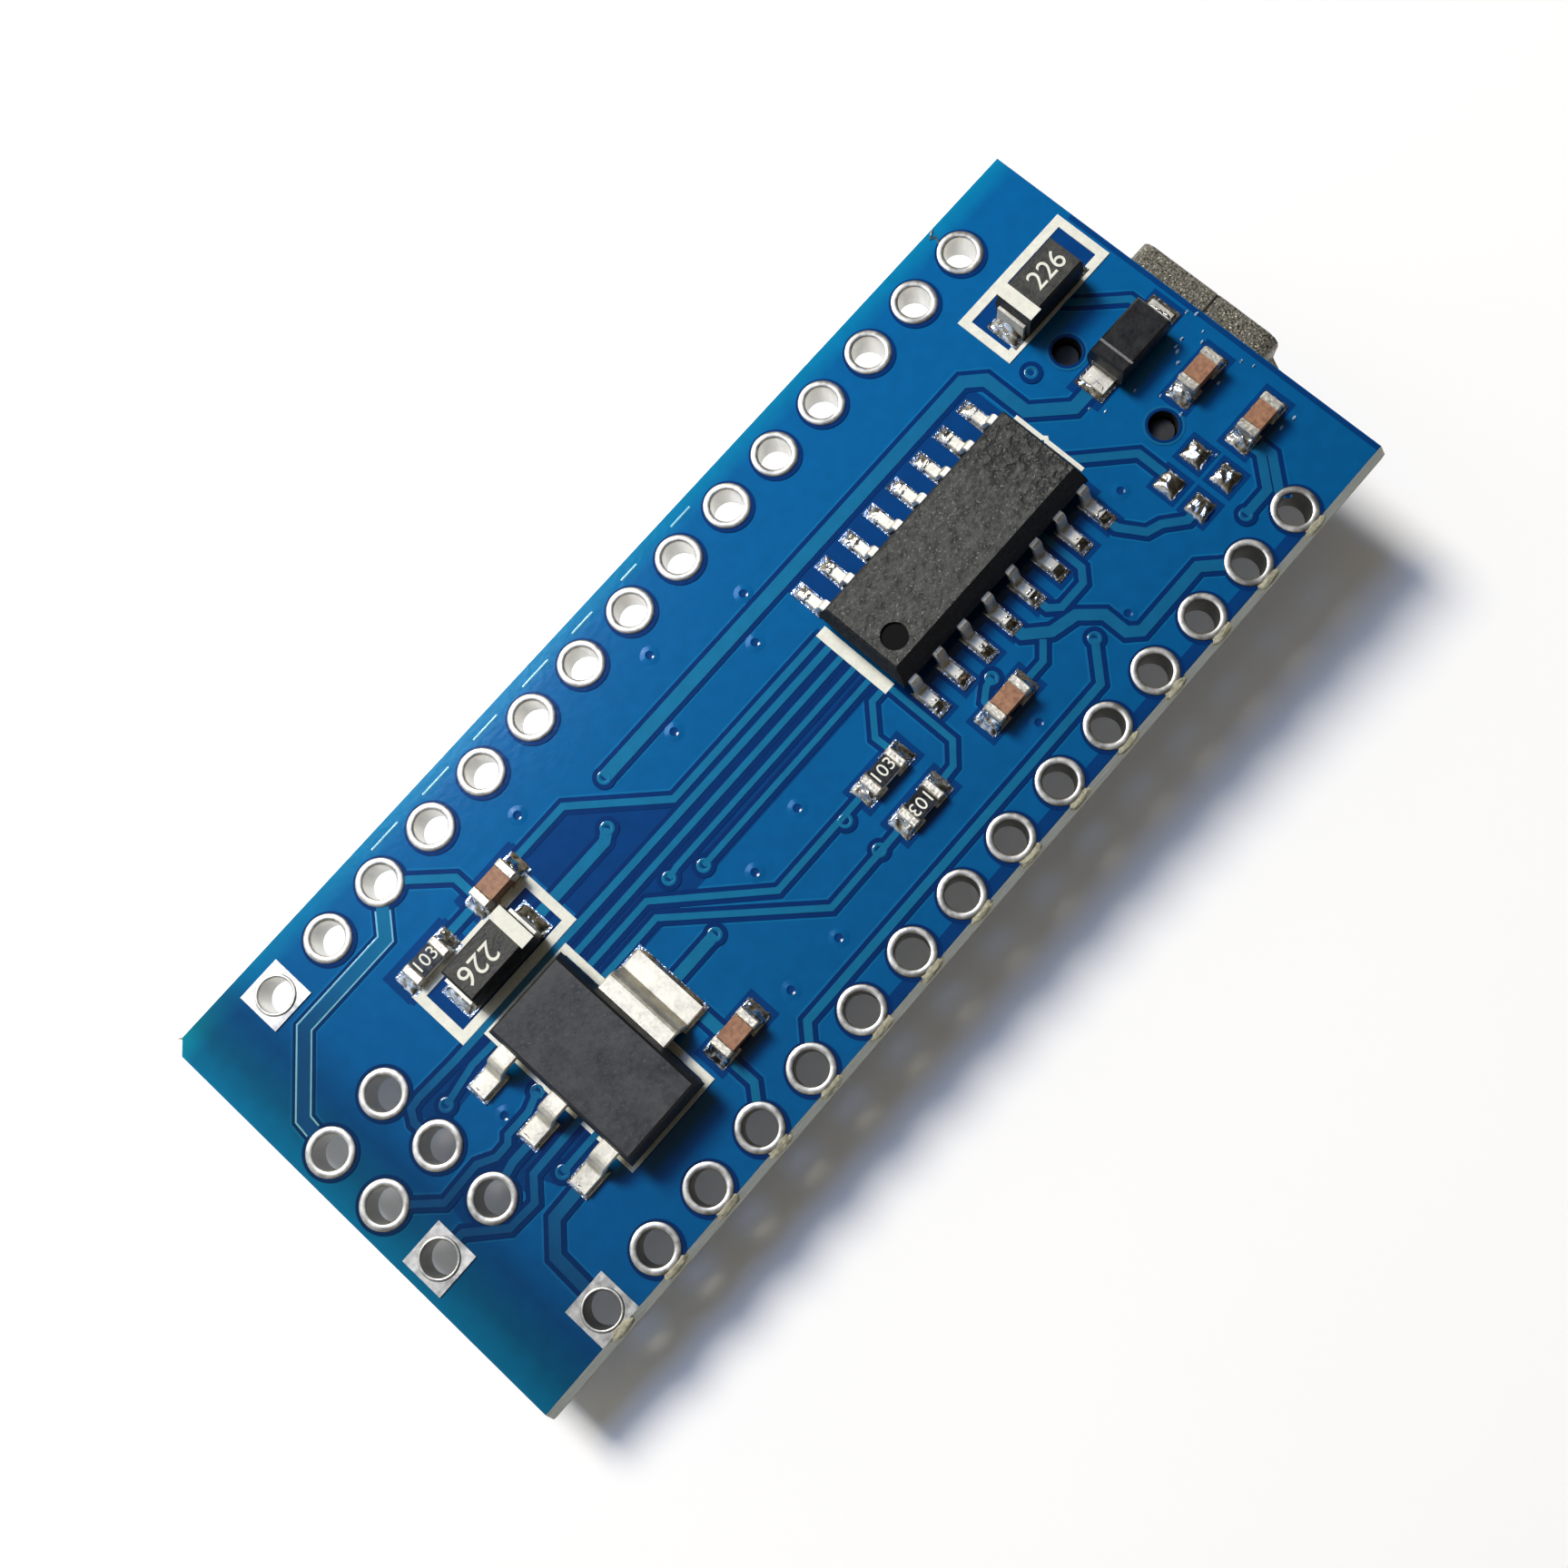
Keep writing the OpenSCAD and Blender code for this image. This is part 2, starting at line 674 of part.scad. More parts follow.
module tantalum_terminals() {
    x1 = tantalum_l / 2;
    t = tantalum_terminal_t;
    color("#c9c9c6") spots_on_top(tantalum_spots) both_ends()
        along_y(tantalum_terminal_w) polygon([
            [x1 - tantalum_foot, land_t], [x1, land_t], [x1, land_t + tantalum_rise],
            [x1 - t, land_t + tantalum_rise], [x1 - t, land_t + t], [x1 - tantalum_foot, land_t + t]
        ]);
}

// Diode: flat leads let into the underside of the body

module diode_strip() {
    lead_l = (diode_span - diode_l) / 2 + diode_lead_in;
    translate([diode_span / 2 - lead_l / 2, 0, 0])
        eased_block(lead_l, diode_lead_w, land_t, land_t + diode_lead_t, land_ease);
}

module diode_body() {
    color("#232426") on_top(diode_spot.x, diode_spot.y) difference() {
        moulded_body(diode_l, diode_w, land_t + land_ease, land_t + diode_h, small_draft_run);
        both_ends() diode_strip();
    }
}

module diode_leads() {
    color("#c9c9c6") on_top(diode_spot.x, diode_spot.y) both_ends() diode_strip();
}

// Chip capacitors and resistors: ceramic between two metal ends

module chip_ceramic(h) {
    body_l = chip_l - 2 * chip_end;
    translate([-body_l / 2, -chip_w / 2 + end_skin, land_t + end_skin])
        cube([body_l, chip_w - 2 * end_skin, h - 2 * end_skin]);
}

module chip_metal(h) {
    both_ends() translate([chip_l / 2 - chip_end / 2, 0, 0])
        eased_block(chip_end, chip_w, land_t, land_t + h, chip_ease);
}

module ceramic_capacitor_bodies() {
    color("#9a6a4c") spots_on_top(capacitor_spots) chip_ceramic(capacitor_h);
}

module ceramic_capacitor_ends() {
    color("#cfcfcb") spots_on_top(capacitor_spots) chip_metal(capacitor_h);
}

module chip_resistor_bodies() {
    color("#e8e6df") spots_on_top(resistor_spots) chip_ceramic(resistor_h);
}

module chip_resistor_coats() {
    body_l = chip_l - 2 * chip_end;
    color("#17181a") spots_on_top(resistor_spots)
        eased_block(
            body_l, chip_w - 2 * end_skin,
            land_t + resistor_h - end_skin, land_t + resistor_h - end_skin + coat_t, land_ease
        );
}

module chip_resistor_ends() {
    color("#cfcfcb") spots_on_top(resistor_spots) chip_metal(resistor_h);
}

// Lands and spare pads of the pin side

module chip_lands() {
    land_l = chip_end + land_past + land_beside;
    both_ends() translate([chip_l / 2 + land_past - land_beside - land_l / 2, 0, 0])
        land(land_l, chip_w + 2 * land_beside);
}

module solder_lands_top() {
    color("#c4c4c0") {
        serial_spot() both_ends() in_row(serial_pins, serial_pitch)
            foot_land(serial_span / 2, serial_foot, serial_lead_w + 2 * land_beside);
        regulator_spot() rotate(90) in_row(3, regulator_pitch)
            foot_land(
                regulator_span / 2, regulator_foot, regulator_lead_w + 2 * land_beside, regulator_land_past
            );
        regulator_spot() rotate(-90)
            foot_land(
                regulator_span / 2, regulator_foot, tab_w + 2 * land_beside, regulator_land_past
            );
        spots_on_top(tantalum_spots) both_ends()
            translate([tantalum_l / 2 - tantalum_foot / 2 + land_past / 2, 0, 0])
                land(tantalum_foot + land_past, tantalum_terminal_w + 2 * land_beside);
        on_top(diode_spot.x, diode_spot.y) both_ends()
            translate([diode_span / 2 - land_past / 2, 0, 0])
                land(2 * land_past, diode_lead_w + 3 * land_beside);
        spots_on_top(capacitor_spots) chip_lands();
        spots_on_top(resistor_spots) chip_lands();
    }
}

module spare_solder_pads() {
    // The dome is a cap of a sphere that meets the pad's corners
    reach = spare_pad / sqrt(2);
    rise = spare_dome - land_t;
    r = (reach * reach + rise * rise) / (2 * rise);
    color("#cfcfcb") on_top(spare_spot.x, spare_spot.y)
        for (i = [-0.5, 0.5], j = [-0.5, 0.5])
            translate([i * spare_pitch_x, j * spare_pitch_y, 0]) {
                land(spare_pad, spare_pad);
                intersection() {
                    translate([0, 0, spare_dome - r]) sphere(r);
                    translate([-spare_pad / 2, -spare_pad / 2, land_t / 2])
                        cube([spare_pad, spare_pad, spare_dome]);
                }
            }
}

// USB socket: a shell folded from one sheet, drawn with Z away from the board

// Points of a bend about a centre, from one angle to another
function bend(y, z, r, from, to) = [
    for (i = [0 : 3]) let (a = from + (to - from) * i / 3) [y + r * cos(a), z + r * sin(a)]
];

// Half of the shell's outline, from the board side to the far side, moved in by d
function shell_half(d) =
    let (
        n = usb_narrow / 2, w = usb_wide / 2, r = usb_bend, z0 = land_t, z3 = land_t + usb_h,
        z1 = land_t + usb_step[0], z2 = land_t + usb_step[1],
        lift = d * tan(atan2(w - n, z2 - z1) / 2)
    )
    concat(
        bend(n - r, z0 + r, r - d, -90, 0),
        [[n - d, z1 + lift], [w - d, z2 + lift]],
        bend(w - r, z3 - r, r - d, 0, 90)
    );

function mirrored(pts) = [for (i = [len(pts) - 1 : -1 : 0]) [-pts[i][0], pts[i][1]]];

function shell_outline(d) = concat(shell_half(d), mirrored(shell_half(d)));

// A length of the shell's section between two places along X
module shell_length(x0, x1, d) {
    translate([(x0 + x1) / 2, 0, 0]) along_x(x1 - x0) polygon(shell_outline(d));
}

// Solder feet bent out of the sides, two on each side
module shell_feet() {
    inner = usb_narrow / 2 - usb_bend / 2;
    for (x = shell_foot_x, side = [0, 1])
        mirror([0, side, 0]) translate([x - shell_foot_l / 2, inner, land_t])
            cube([shell_foot_l, shell_foot_out + usb_bend / 2, usb_sheet]);
}

// Slots that free the spring fingers from the sheet away from the board
module finger_slots() {
    z = land_t + usb_h - usb_sheet - cut / 2;
    for (side = [-1, 1]) translate([usb_mouth - finger_inset, side * usb_narrow / 4, z]) {
        for (edge = [-1, 1])
            translate([0, edge * (finger_w + finger_slot) / 2 - finger_slot / 2, 0])
                cube([finger_l, finger_slot, usb_sheet + cut]);
        translate([0, -finger_w / 2 - finger_slot, 0])
            cube([finger_slot, finger_w + 2 * finger_slot, usb_sheet + cut]);
    }
}

module usb_shell() {
    color("#a9a8a4") under() difference() {
        union() {
            shell_length(usb_rear, usb_mouth, 0);
            shell_feet();
        }
        shell_length(usb_rear - cut, usb_mouth + cut, usb_sheet);
        finger_slots();
        translate([usb_rear - cut, seam_y - seam_w / 2, -cut])
            cube([usb_l + 2 * cut, seam_w, cut + land_t + usb_sheet + seam_w]);
        peg_spots() translate([0, 0, -cut])
            cylinder(d = peg_hole_d, h = cut + land_t + usb_sheet + seam_w);
    }
}

// The contacts run along the tongue, through the core and down to the board
function contact_side() =
    let (
        z0 = tongue_z - contact_t / 2, z1 = tongue_z + contact_t / 2, tip = tongue_tip - contact_tip,
        x0 = contact_drop, x1 = contact_drop + contact_t, low = land_t
    )
    [
        [x0 - contact_foot, low], [x1, low], [x1, z0], [tip, z0], [tip, z1], [x0, z1],
        [x0, low + contact_t], [x0 - contact_foot, low + contact_t]
    ];

function contact_y(i) = (i - (usb_contacts - 1) / 2) * contact_pitch;

module contacts_in_place() {
    for (i = [0 : usb_contacts - 1])
        translate([0, contact_y(i), 0]) along_y(contact_w) polygon(contact_side());
}

module usb_contact_strips() {
    color("#d9b96a") under() contacts_in_place();
}

module usb_insulator() {
    color("#2a2b2d") under() difference() {
        union() {
            shell_length(core_back, core_front, usb_sheet + core_room);
            translate([core_back, -tongue_w / 2, tongue_z])
                cube([tongue_tip - core_back, tongue_w, tongue_t]);
            peg_spots() translate([0, 0, -peg_reach])
                cylinder(d = peg_d, h = peg_reach + land_t + 2 * usb_sheet);
        }
        contacts_in_place();
    }
}

// Controller, drawn with Z away from the board

module controller_spot() {
    under(controller_x, 0, controller_turn) children();
}

module controller_body() {
    top = controller_seat + controller_h;
    corner = controller_dimple_inset - controller_w / 2;
    color("#232527") controller_spot() difference() {
        moulded_body(controller_w, controller_w, controller_seat, top);
        translate([corner, corner, top - controller_dimple_depth])
            cylinder(d = controller_dimple_d, h = cut);
    }
}

module controller_leads() {
    y0 = controller_w / 2;
    mid = controller_seat + controller_h / 2;
    side = gull_wing(
        y0, y0 + controller_reach, mid - controller_lead_t / 2, controller_lead_t, controller_reach / 2
    );
    color("#c9c9c6") controller_spot() for (turn = [0 : 90 : 270]) rotate(turn)
        in_row(controller_pins, controller_pitch) along_x(controller_lead_w) polygon(side);
}

// Crystals: a ceramic tray, the quartz blank in it and a metal lid

module crystal_bases() {
    l = crystal_l - 2 * crystal_wall;
    w = crystal_w - 2 * crystal_wall;
    color("#6f6a5c") spots_under(crystal_spots) difference() {
        eased_block(crystal_l, crystal_w, land_t, land_t + crystal_h, chip_ease);
        translate([-l / 2, -w / 2, land_t + crystal_wall]) cube([l, w, crystal_h]);
    }
}

module crystal_blanks() {
    around = crystal_wall + blank_room;
    l = crystal_l - 2 * around;
    w = crystal_w - 2 * around;
    color("#dfe6e8") spots_under(crystal_spots)
        translate([-l / 2, -w / 2, land_t + crystal_wall]) cube([l, w, blank_t]);
}

module crystal_lids() {
    z0 = land_t + crystal_h;
    rim = crystal_wall / 2;
    color("#c8c7c3") spots_under(crystal_spots)
        eased_block(crystal_l - rim, crystal_w - rim, z0, z0 + lid_t, lid_t / 3);
}

// Reset switch, drawn with Z away from the board and its length along X

module switch_spot() {
    under(switch_x, 0, 90) children();
}

module terminal_strip() {
    l = terminal_out + terminal_in;
    translate([switch_l / 2 - terminal_in + l / 2, 0, 0])
        eased_block(l, terminal_w, land_t, land_t + terminal_t, land_ease);
}

module switch_housing() {
    color("#1f2022") switch_spot() difference() {
        eased_block(switch_l, switch_w, switch_seat, housing_top, chip_ease);
        translate([0, 0, cavity_floor]) cylinder(d = cavity_d, h = switch_h);
        both_ends() terminal_strip();
    }
}

module switch_terminals() {
    color("#c9c9c6") switch_spot() both_ends() terminal_strip();
}

// The dome is a shallow spring disc with a flat rim and a raised middle
module switch_dome() {
    r = dome_d / 2;
    // Shares of the radius where the rim ends and the flat middle starts
    rim = 0.85 * r;
    flat = 0.4 * r;
    color("#cfcdc4") switch_spot() translate([0, 0, cavity_floor]) rotate_extrude() polygon([
        [0, dome_rise - dome_t], [flat, dome_rise - dome_t], [rim, 0], [r, 0],
        [r, dome_t], [rim, dome_t], [flat, dome_rise], [0, dome_rise]
    ]);
}

module switch_plunger() {
    flange_low = cavity_floor + dome_rise + travel + slide_gap;
    stem_top = plunger_top - stem_ease;
    color("#e9e7e1") switch_spot() {
        translate([0, 0, flange_low]) cylinder(d = flange_d, h = flange_t);
        translate([0, 0, flange_low]) cylinder(d = stem_d, h = stem_top - flange_low);
        translate([0, 0, stem_top]) cylinder(d1 = stem_d, d2 = stem_d - 2 * stem_ease, h = stem_ease);
    }
}

module switch_cover() {
    l = switch_l - 2 * cover_inset;
    w = switch_w - 2 * cover_inset;
    color("#b9b8b4") switch_spot() difference() {
        eased_block(l, w, housing_top, housing_top + cover_t, land_ease);
        translate([0, 0, housing_top - cut])
            cylinder(d = stem_d + 2 * slide_gap, h = cover_t + 2 * cut);
    }
}

// Indicator lamps: a base between two metal ends under a moulded lens

module lamp_spots() {
    under(lamp_x, 0) for (i = [0 : lamps - 1])
        translate([0, (i - (lamps - 1) / 2) * lamp_pitch, 0]) children();
}

module led_bases() {
    l = chip_l - 2 * chip_end;
    color("#efeee8") lamp_spots()
        translate([-l / 2, -chip_w / 2, land_t]) cube([l, chip_w, lamp_base_h]);
}

module led_ends() {
    color("#d9b96a") lamp_spots() both_ends() translate([chip_l / 2 - chip_end, -chip_w / 2, land_t])
        cube([chip_end, chip_w, lamp_base_h]);
}

module led_lenses() {
    z0 = land_t + lamp_base_h;
    color("#e8e2b8") lamp_spots()
        eased_block(chip_l - chip_end, chip_w, z0, z0 + lamp_lens_h, mould_ease);
}

// Resistor arrays: one ceramic bar with a row of metal ends along each side

module array_bodies() {
    color("#e8e6df") spots_under(array_spots)
        translate([-array_l / 2, -array_w / 2 + array_end_w, land_t])
            cube([array_l, array_w - 2 * array_end_w, resistor_h]);
}

module array_coats() {
    z0 = land_t + resistor_h;
    w = array_w - 2 * array_end_w;
    color("#17181a") spots_under(array_spots) eased_block(array_l, w, z0, z0 + coat_t, land_ease);
}

module array_ends() {
    color("#cfcfcb") spots_under(array_spots) both_ends() in_row(array_n, array_pitch)
        translate([0, array_w / 2 - array_end_w / 2, 0])
            eased_block(array_end_l, array_end_w, land_t, land_t + resistor_h, land_ease);
}

// Chip capacitors and lands of the parts side

module under_capacitor_bodies() {
    color("#9a6a4c") spots_under(under_capacitor_spots) chip_ceramic(capacitor_h);
}

module under_capacitor_ends() {
    color("#cfcfcb") spots_under(under_capacitor_spots) chip_metal(capacitor_h);
}

module solder_lands_under() {
    color("#c4c4c0") {
        controller_spot() for (turn = [0 : 90 : 270]) rotate(turn)
            in_row(controller_pins, controller_pitch) foot_land(
                controller_w / 2 + controller_reach, controller_reach / 2, controller_lead_w,
                controller_land_past
            );
        spots_under(crystal_spots) for (i = [-1, 1], j = [-1, 1])
            translate([i * crystal_l / 3, j * crystal_w / 3, 0]) land(crystal_l / 3, crystal_w / 3.5);
        switch_spot() both_ends() translate([switch_l / 2 + terminal_out / 2, 0, 0])
            land(terminal_out + land_past, terminal_w + 2 * land_beside);
        lamp_spots() chip_lands();
        spots_under(array_spots) both_ends() in_row(array_n, array_pitch)
            translate([0, array_w / 2, 0]) land(array_end_l, 2 * array_end_w);
        spots_under(under_capacitor_spots) chip_lands();
        under() {
            shell_feet_lands();
            for (i = [0 : usb_contacts - 1])
                translate([contact_drop - contact_foot / 2, contact_y(i), 0])
                    land(contact_foot + land_beside, contact_w + land_beside);
        }
    }
}

// The lands stay outside the shell, under the feet alone
module shell_feet_lands() {
    for (x = shell_foot_x, side = [-1, 1])
        translate([x, side * (usb_narrow / 2 + shell_foot_out / 2 + land_beside), 0])
            land(shell_foot_l + 2 * land_beside, shell_foot_out + 2 * land_beside);
}

board();
header_plated_holes();
isp_plated_holes();
solder_lands_top();
spare_solder_pads();
serial_chip_body();
serial_chip_leads();
regulator_body();
regulator_leads();
regulator_tab();
tantalum_bodies();
tantalum_terminals();
diode_body();
diode_leads();
ceramic_capacitor_bodies();
ceramic_capacitor_ends();
chip_resistor_bodies();
chip_resistor_coats();
chip_resistor_ends();
usb_shell();
usb_insulator();
usb_contact_strips();
controller_body();
controller_leads();
crystal_bases();
crystal_blanks();
crystal_lids();
switch_housing();
switch_dome();
switch_plunger();
switch_cover();
switch_terminals();
led_bases();
led_lenses();
led_ends();
array_bodies();
array_coats();
array_ends();
under_capacitor_bodies();
under_capacitor_ends();
solder_lands_under();
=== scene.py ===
"""Looks of a thirty-pin microcontroller board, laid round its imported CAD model."""

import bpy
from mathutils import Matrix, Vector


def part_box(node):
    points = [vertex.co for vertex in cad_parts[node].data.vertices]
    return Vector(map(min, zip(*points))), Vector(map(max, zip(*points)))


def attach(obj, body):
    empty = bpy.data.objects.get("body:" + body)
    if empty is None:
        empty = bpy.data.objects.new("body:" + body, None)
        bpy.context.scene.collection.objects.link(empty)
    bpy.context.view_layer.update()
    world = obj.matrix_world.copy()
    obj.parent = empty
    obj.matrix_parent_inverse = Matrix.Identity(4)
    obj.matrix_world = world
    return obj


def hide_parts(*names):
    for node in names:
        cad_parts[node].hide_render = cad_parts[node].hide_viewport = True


bl_info = {
    "name": "Microcontroller board looks",
    "version": (1, 0, 0),
    "blender": (4, 5, 0),
    "location": "View3D > Sidebar > Board",
    "description": "Finishes, copper traces, printing and solder of a small microcontroller board",
    "category": "Object",
}

import math
from functools import partial

import bmesh
import bpy
from bpy.props import FloatProperty, FloatVectorProperty, PointerProperty
from mathutils import Euler, Matrix, Vector, noise

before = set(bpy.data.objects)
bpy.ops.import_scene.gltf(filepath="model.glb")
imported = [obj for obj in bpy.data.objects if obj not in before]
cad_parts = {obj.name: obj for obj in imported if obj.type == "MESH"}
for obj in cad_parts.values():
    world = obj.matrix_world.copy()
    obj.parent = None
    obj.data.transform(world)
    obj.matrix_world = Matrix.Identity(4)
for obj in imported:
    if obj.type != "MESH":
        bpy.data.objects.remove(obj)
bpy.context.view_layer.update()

MM = 0.001
BOARD = "board_assembly"
# Slot of what lies on the faces of the board
FACE = "solder_mask_laminate"
# Depth of the flat undersides below the face, so that no two faces share a plane
SUNK = 0.01


def to_linear(colour):
    """An sRGB hex colour as linear red, green, blue and alpha."""
    parts = [int(colour[i : i + 2], 16) / 255 for i in (1, 3, 5)]
    return [p / 12.92 if p <= 0.04045 else ((p + 0.055) / 1.055) ** 2.4 for p in parts] + [1.0]


def colour_setting(name, description, colour):
    """A colour that a user can change, given as an sRGB hex value."""
    return FloatVectorProperty(
        name=name, description=description, size=4, subtype="COLOR", min=0, max=1, default=to_linear(colour)
    )


def length_setting(name, description, millimetres):
    """A length that a user can change, given in millimetres."""
    return FloatProperty(name=name, description=description, default=millimetres * MM, unit="LENGTH", precision=6)


class BoardSizes(bpy.types.PropertyGroup):
    """Sizes of what lies on the faces of the board."""

    trace_rise: length_setting("Trace height", "Height of masked copper above the face", 0.03)
    gap: length_setting("Clearance", "Bare strip between a trace and the copper beside it", 0.17)
    gap_rise: length_setting("Clearance height", "Height of the masked bare strips", 0.004)
    print_rise: length_setting("Print height", "Height of the printed ink", 0.018)
    via_width: length_setting("Via width", "Diameter of a via's copper ring", 0.56)


class BoardColours(bpy.types.PropertyGroup):
    """Colours of the faces of the board."""

    pour: colour_setting("Mask over copper", "Blue mask over the copper pour", "#045992")
    bare: colour_setting("Mask over laminate", "Blue mask where there is no copper", "#043a75")
    # Paler than the pour: a painted glint along the edges of the pour
    gap: colour_setting("Mask in clearances", "Blue mask in the narrow strips beside a trace", "#032e67")
    rim: colour_setting("Mask on copper edges", "Blue mask drawn thin over the edge of the pour", "#0a669c")
    trace: colour_setting("Mask over traces", "Blue mask over a raised trace", "#146b95")
    ink: colour_setting("Printed ink", "Cream epoxy ink", "#f0f0e3")


class StageSettings(bpy.types.PropertyGroup):
    """Light of the stage."""

    key: FloatProperty(name="Window", description="Power of the soft window light", default=4.25, unit="POWER")
    fill: FloatProperty(name="Fill", description="Strength of the light from all round", default=0.6, min=0)


# Materials

# The finishes by name, filled in by the first operator
finishes = {}


def add_node(tree, kind, inputs=(), **settings):
    """Adds a shader node, sets its properties, and sets or links its inputs, listed in order or by key.

    An input is a value, an sRGB hex colour, a socket, or a node, which gives its first output in use.
    A Mix node has its factor at 0, numbers at 2 and 3 and colours at 6 and 7."""
    node = tree.nodes.new("ShaderNode" + kind)
    for key, value in settings.items():
        setattr(node, key, value)
    for key, value in inputs.items() if isinstance(inputs, dict) else enumerate(inputs):
        if isinstance(value, bpy.types.Node):
            value = next(output for output in value.outputs if output.enabled)
        if isinstance(value, bpy.types.NodeSocket):
            tree.links.new(value, node.inputs[key])
        else:
            node.inputs[key].default_value = to_linear(value) if isinstance(value, str) else value
    return node


def grain_scale(millimetres):
    """Noise scale whose features are about that many millimetres across."""
    return 1 / (millimetres * MM)


def start_material(name):
    """A material, what adds its nodes, and the object coordinates that its patterns are drawn on."""
    material = bpy.data.materials.new(name)
    material.use_nodes = True
    material.node_tree.nodes.clear()
    add = partial(add_node, material.node_tree)
    return material, add, add("TexCoord").outputs["Object"]


def grained(name, low, high, grain, rough, bump, coarse=None, sides=None, flecks=None, pits=None, **values):
    """A finish whose colour, roughness and relief follow a grain given in millimetres.

    low and high are the colours in the hollows and on the crests of the grain, rough the
    roughness there, bump the height of the relief in millimetres, and coarse the size of
    a second, larger unevenness. sides are the colours of steep faces, on the near side (-Y)
    and on the other (+Y); where the two differ, they paint shade on the -Y side and light on
    the +Y side. flecks are the colour, size and rarity of scattered specks, and pits the size
    of hollows and where along X they start and are most. Other values go to the shader's own sockets."""
    material, add, place = start_material(name)
    apart = add("SeparateXYZ", [place])
    level = add("TexNoise", {"Vector": place, "Scale": grain_scale(grain), "Detail": 4, "Roughness": 0.6})
    if coarse:
        wide = add("TexNoise", {"Vector": place, "Scale": grain_scale(coarse), "Detail": 2})
        level = add("Mix", {0: 0.5, 2: level, 3: wide})
    if pits:
        size, start, full = pits
        hollow = add("TexNoise", {"Vector": place, "Scale": grain_scale(size), "Detail": 3})
        deep = add("MapRange", [hollow, 0.44, 0.58])
        here = add("MapRange", [apart.outputs["X"], start * MM, full * MM, 0, 0.22])
        sunk = add("Math", [deep, here], operation="MULTIPLY")
        level = add("Math", [level, sunk], operation="SUBTRACT")
    even = add("MapRange", [level, 0.35, 0.65])
    colour = add("Mix", {0: even, 6: low, 7: high}, data_type="RGBA")
    if flecks:
        hue, size, rarity = flecks
        spots = add("TexNoise", {"Vector": place, "Scale": grain_scale(size), "Detail": 2})
        speck = add("MapRange", [spots, rarity, rarity + 0.07])
        colour = add("Mix", {0: speck, 6: colour, 7: hue}, data_type="RGBA")
    if sides:
        solid = add("NewGeometry")
        facing = add("SeparateXYZ", [solid.outputs["True Normal"]])
        upright = add("Math", [facing.outputs["Z"]], operation="ABSOLUTE")
        flat = add("MapRange", [upright, 0.75, 0.9])
        # Steep faces go from the first side colour at -Y to the last at +Y: painted shade on the -Y side and painted
        # light on the +Y side, where the two differ
        across = add("MapRange", [apart.outputs["Y"], -7 * MM, 7 * MM])
        steep = add("Mix", {0: across, 6: sides[0], 7: sides[-1]}, data_type="RGBA")
        colour = add("Mix", {0: flat, 6: steep, 7: colour}, data_type="RGBA")
    dull = add("MapRange", [even, 0, 1, rough[0], rough[1]])
    relief = add("Bump", {"Height": level, "Strength": 1, "Distance": bump * MM})
    sockets = {"Base Color": colour, "Roughness": dull, "Normal": relief, **values}
    add("OutputMaterial", [add("BsdfPrincipled", sockets)])
    return material


# Changes in the colour of the mask: along which axis, by which factors, from where to where
# At the far end nothing backs the mask, and it turns a darker teal
FAR_TEAL = [("X", (1, 0.8, 0.55), -13.5, -21.5)]
# The pour stops there and the mask darkens. Nearer the end the mask is painted lighter, as light let in through the
# laminate from the edges, and a strip along the +Y edge is painted lighter as the glint of the pour's edge
FACE_TINTS_AND_PAINTED_LIGHT = [
    ("X", (1, 0.85, 0.88), -12, -17.5), ("X", (1, 0.6, 0.62), -17.5, -19), ("X", (1, 1.4, 1), -19, -20.2),
    ("X", (1, 1.85, 1.65), -20.2, -21.4), ("Y", (1, 1.8, 1.25), 8.2, 9),
]
# Traces lose their copper sooner, and lie deeper near the socket
TRACE_TINTS = [
    ("X", (0.75, 0.5, 0.68), -12, -18), ("X", (0.93, 0.72, 0.7), -16, -18.5), ("X", (0.85, 0.82, 0.9), 2, 12),
]


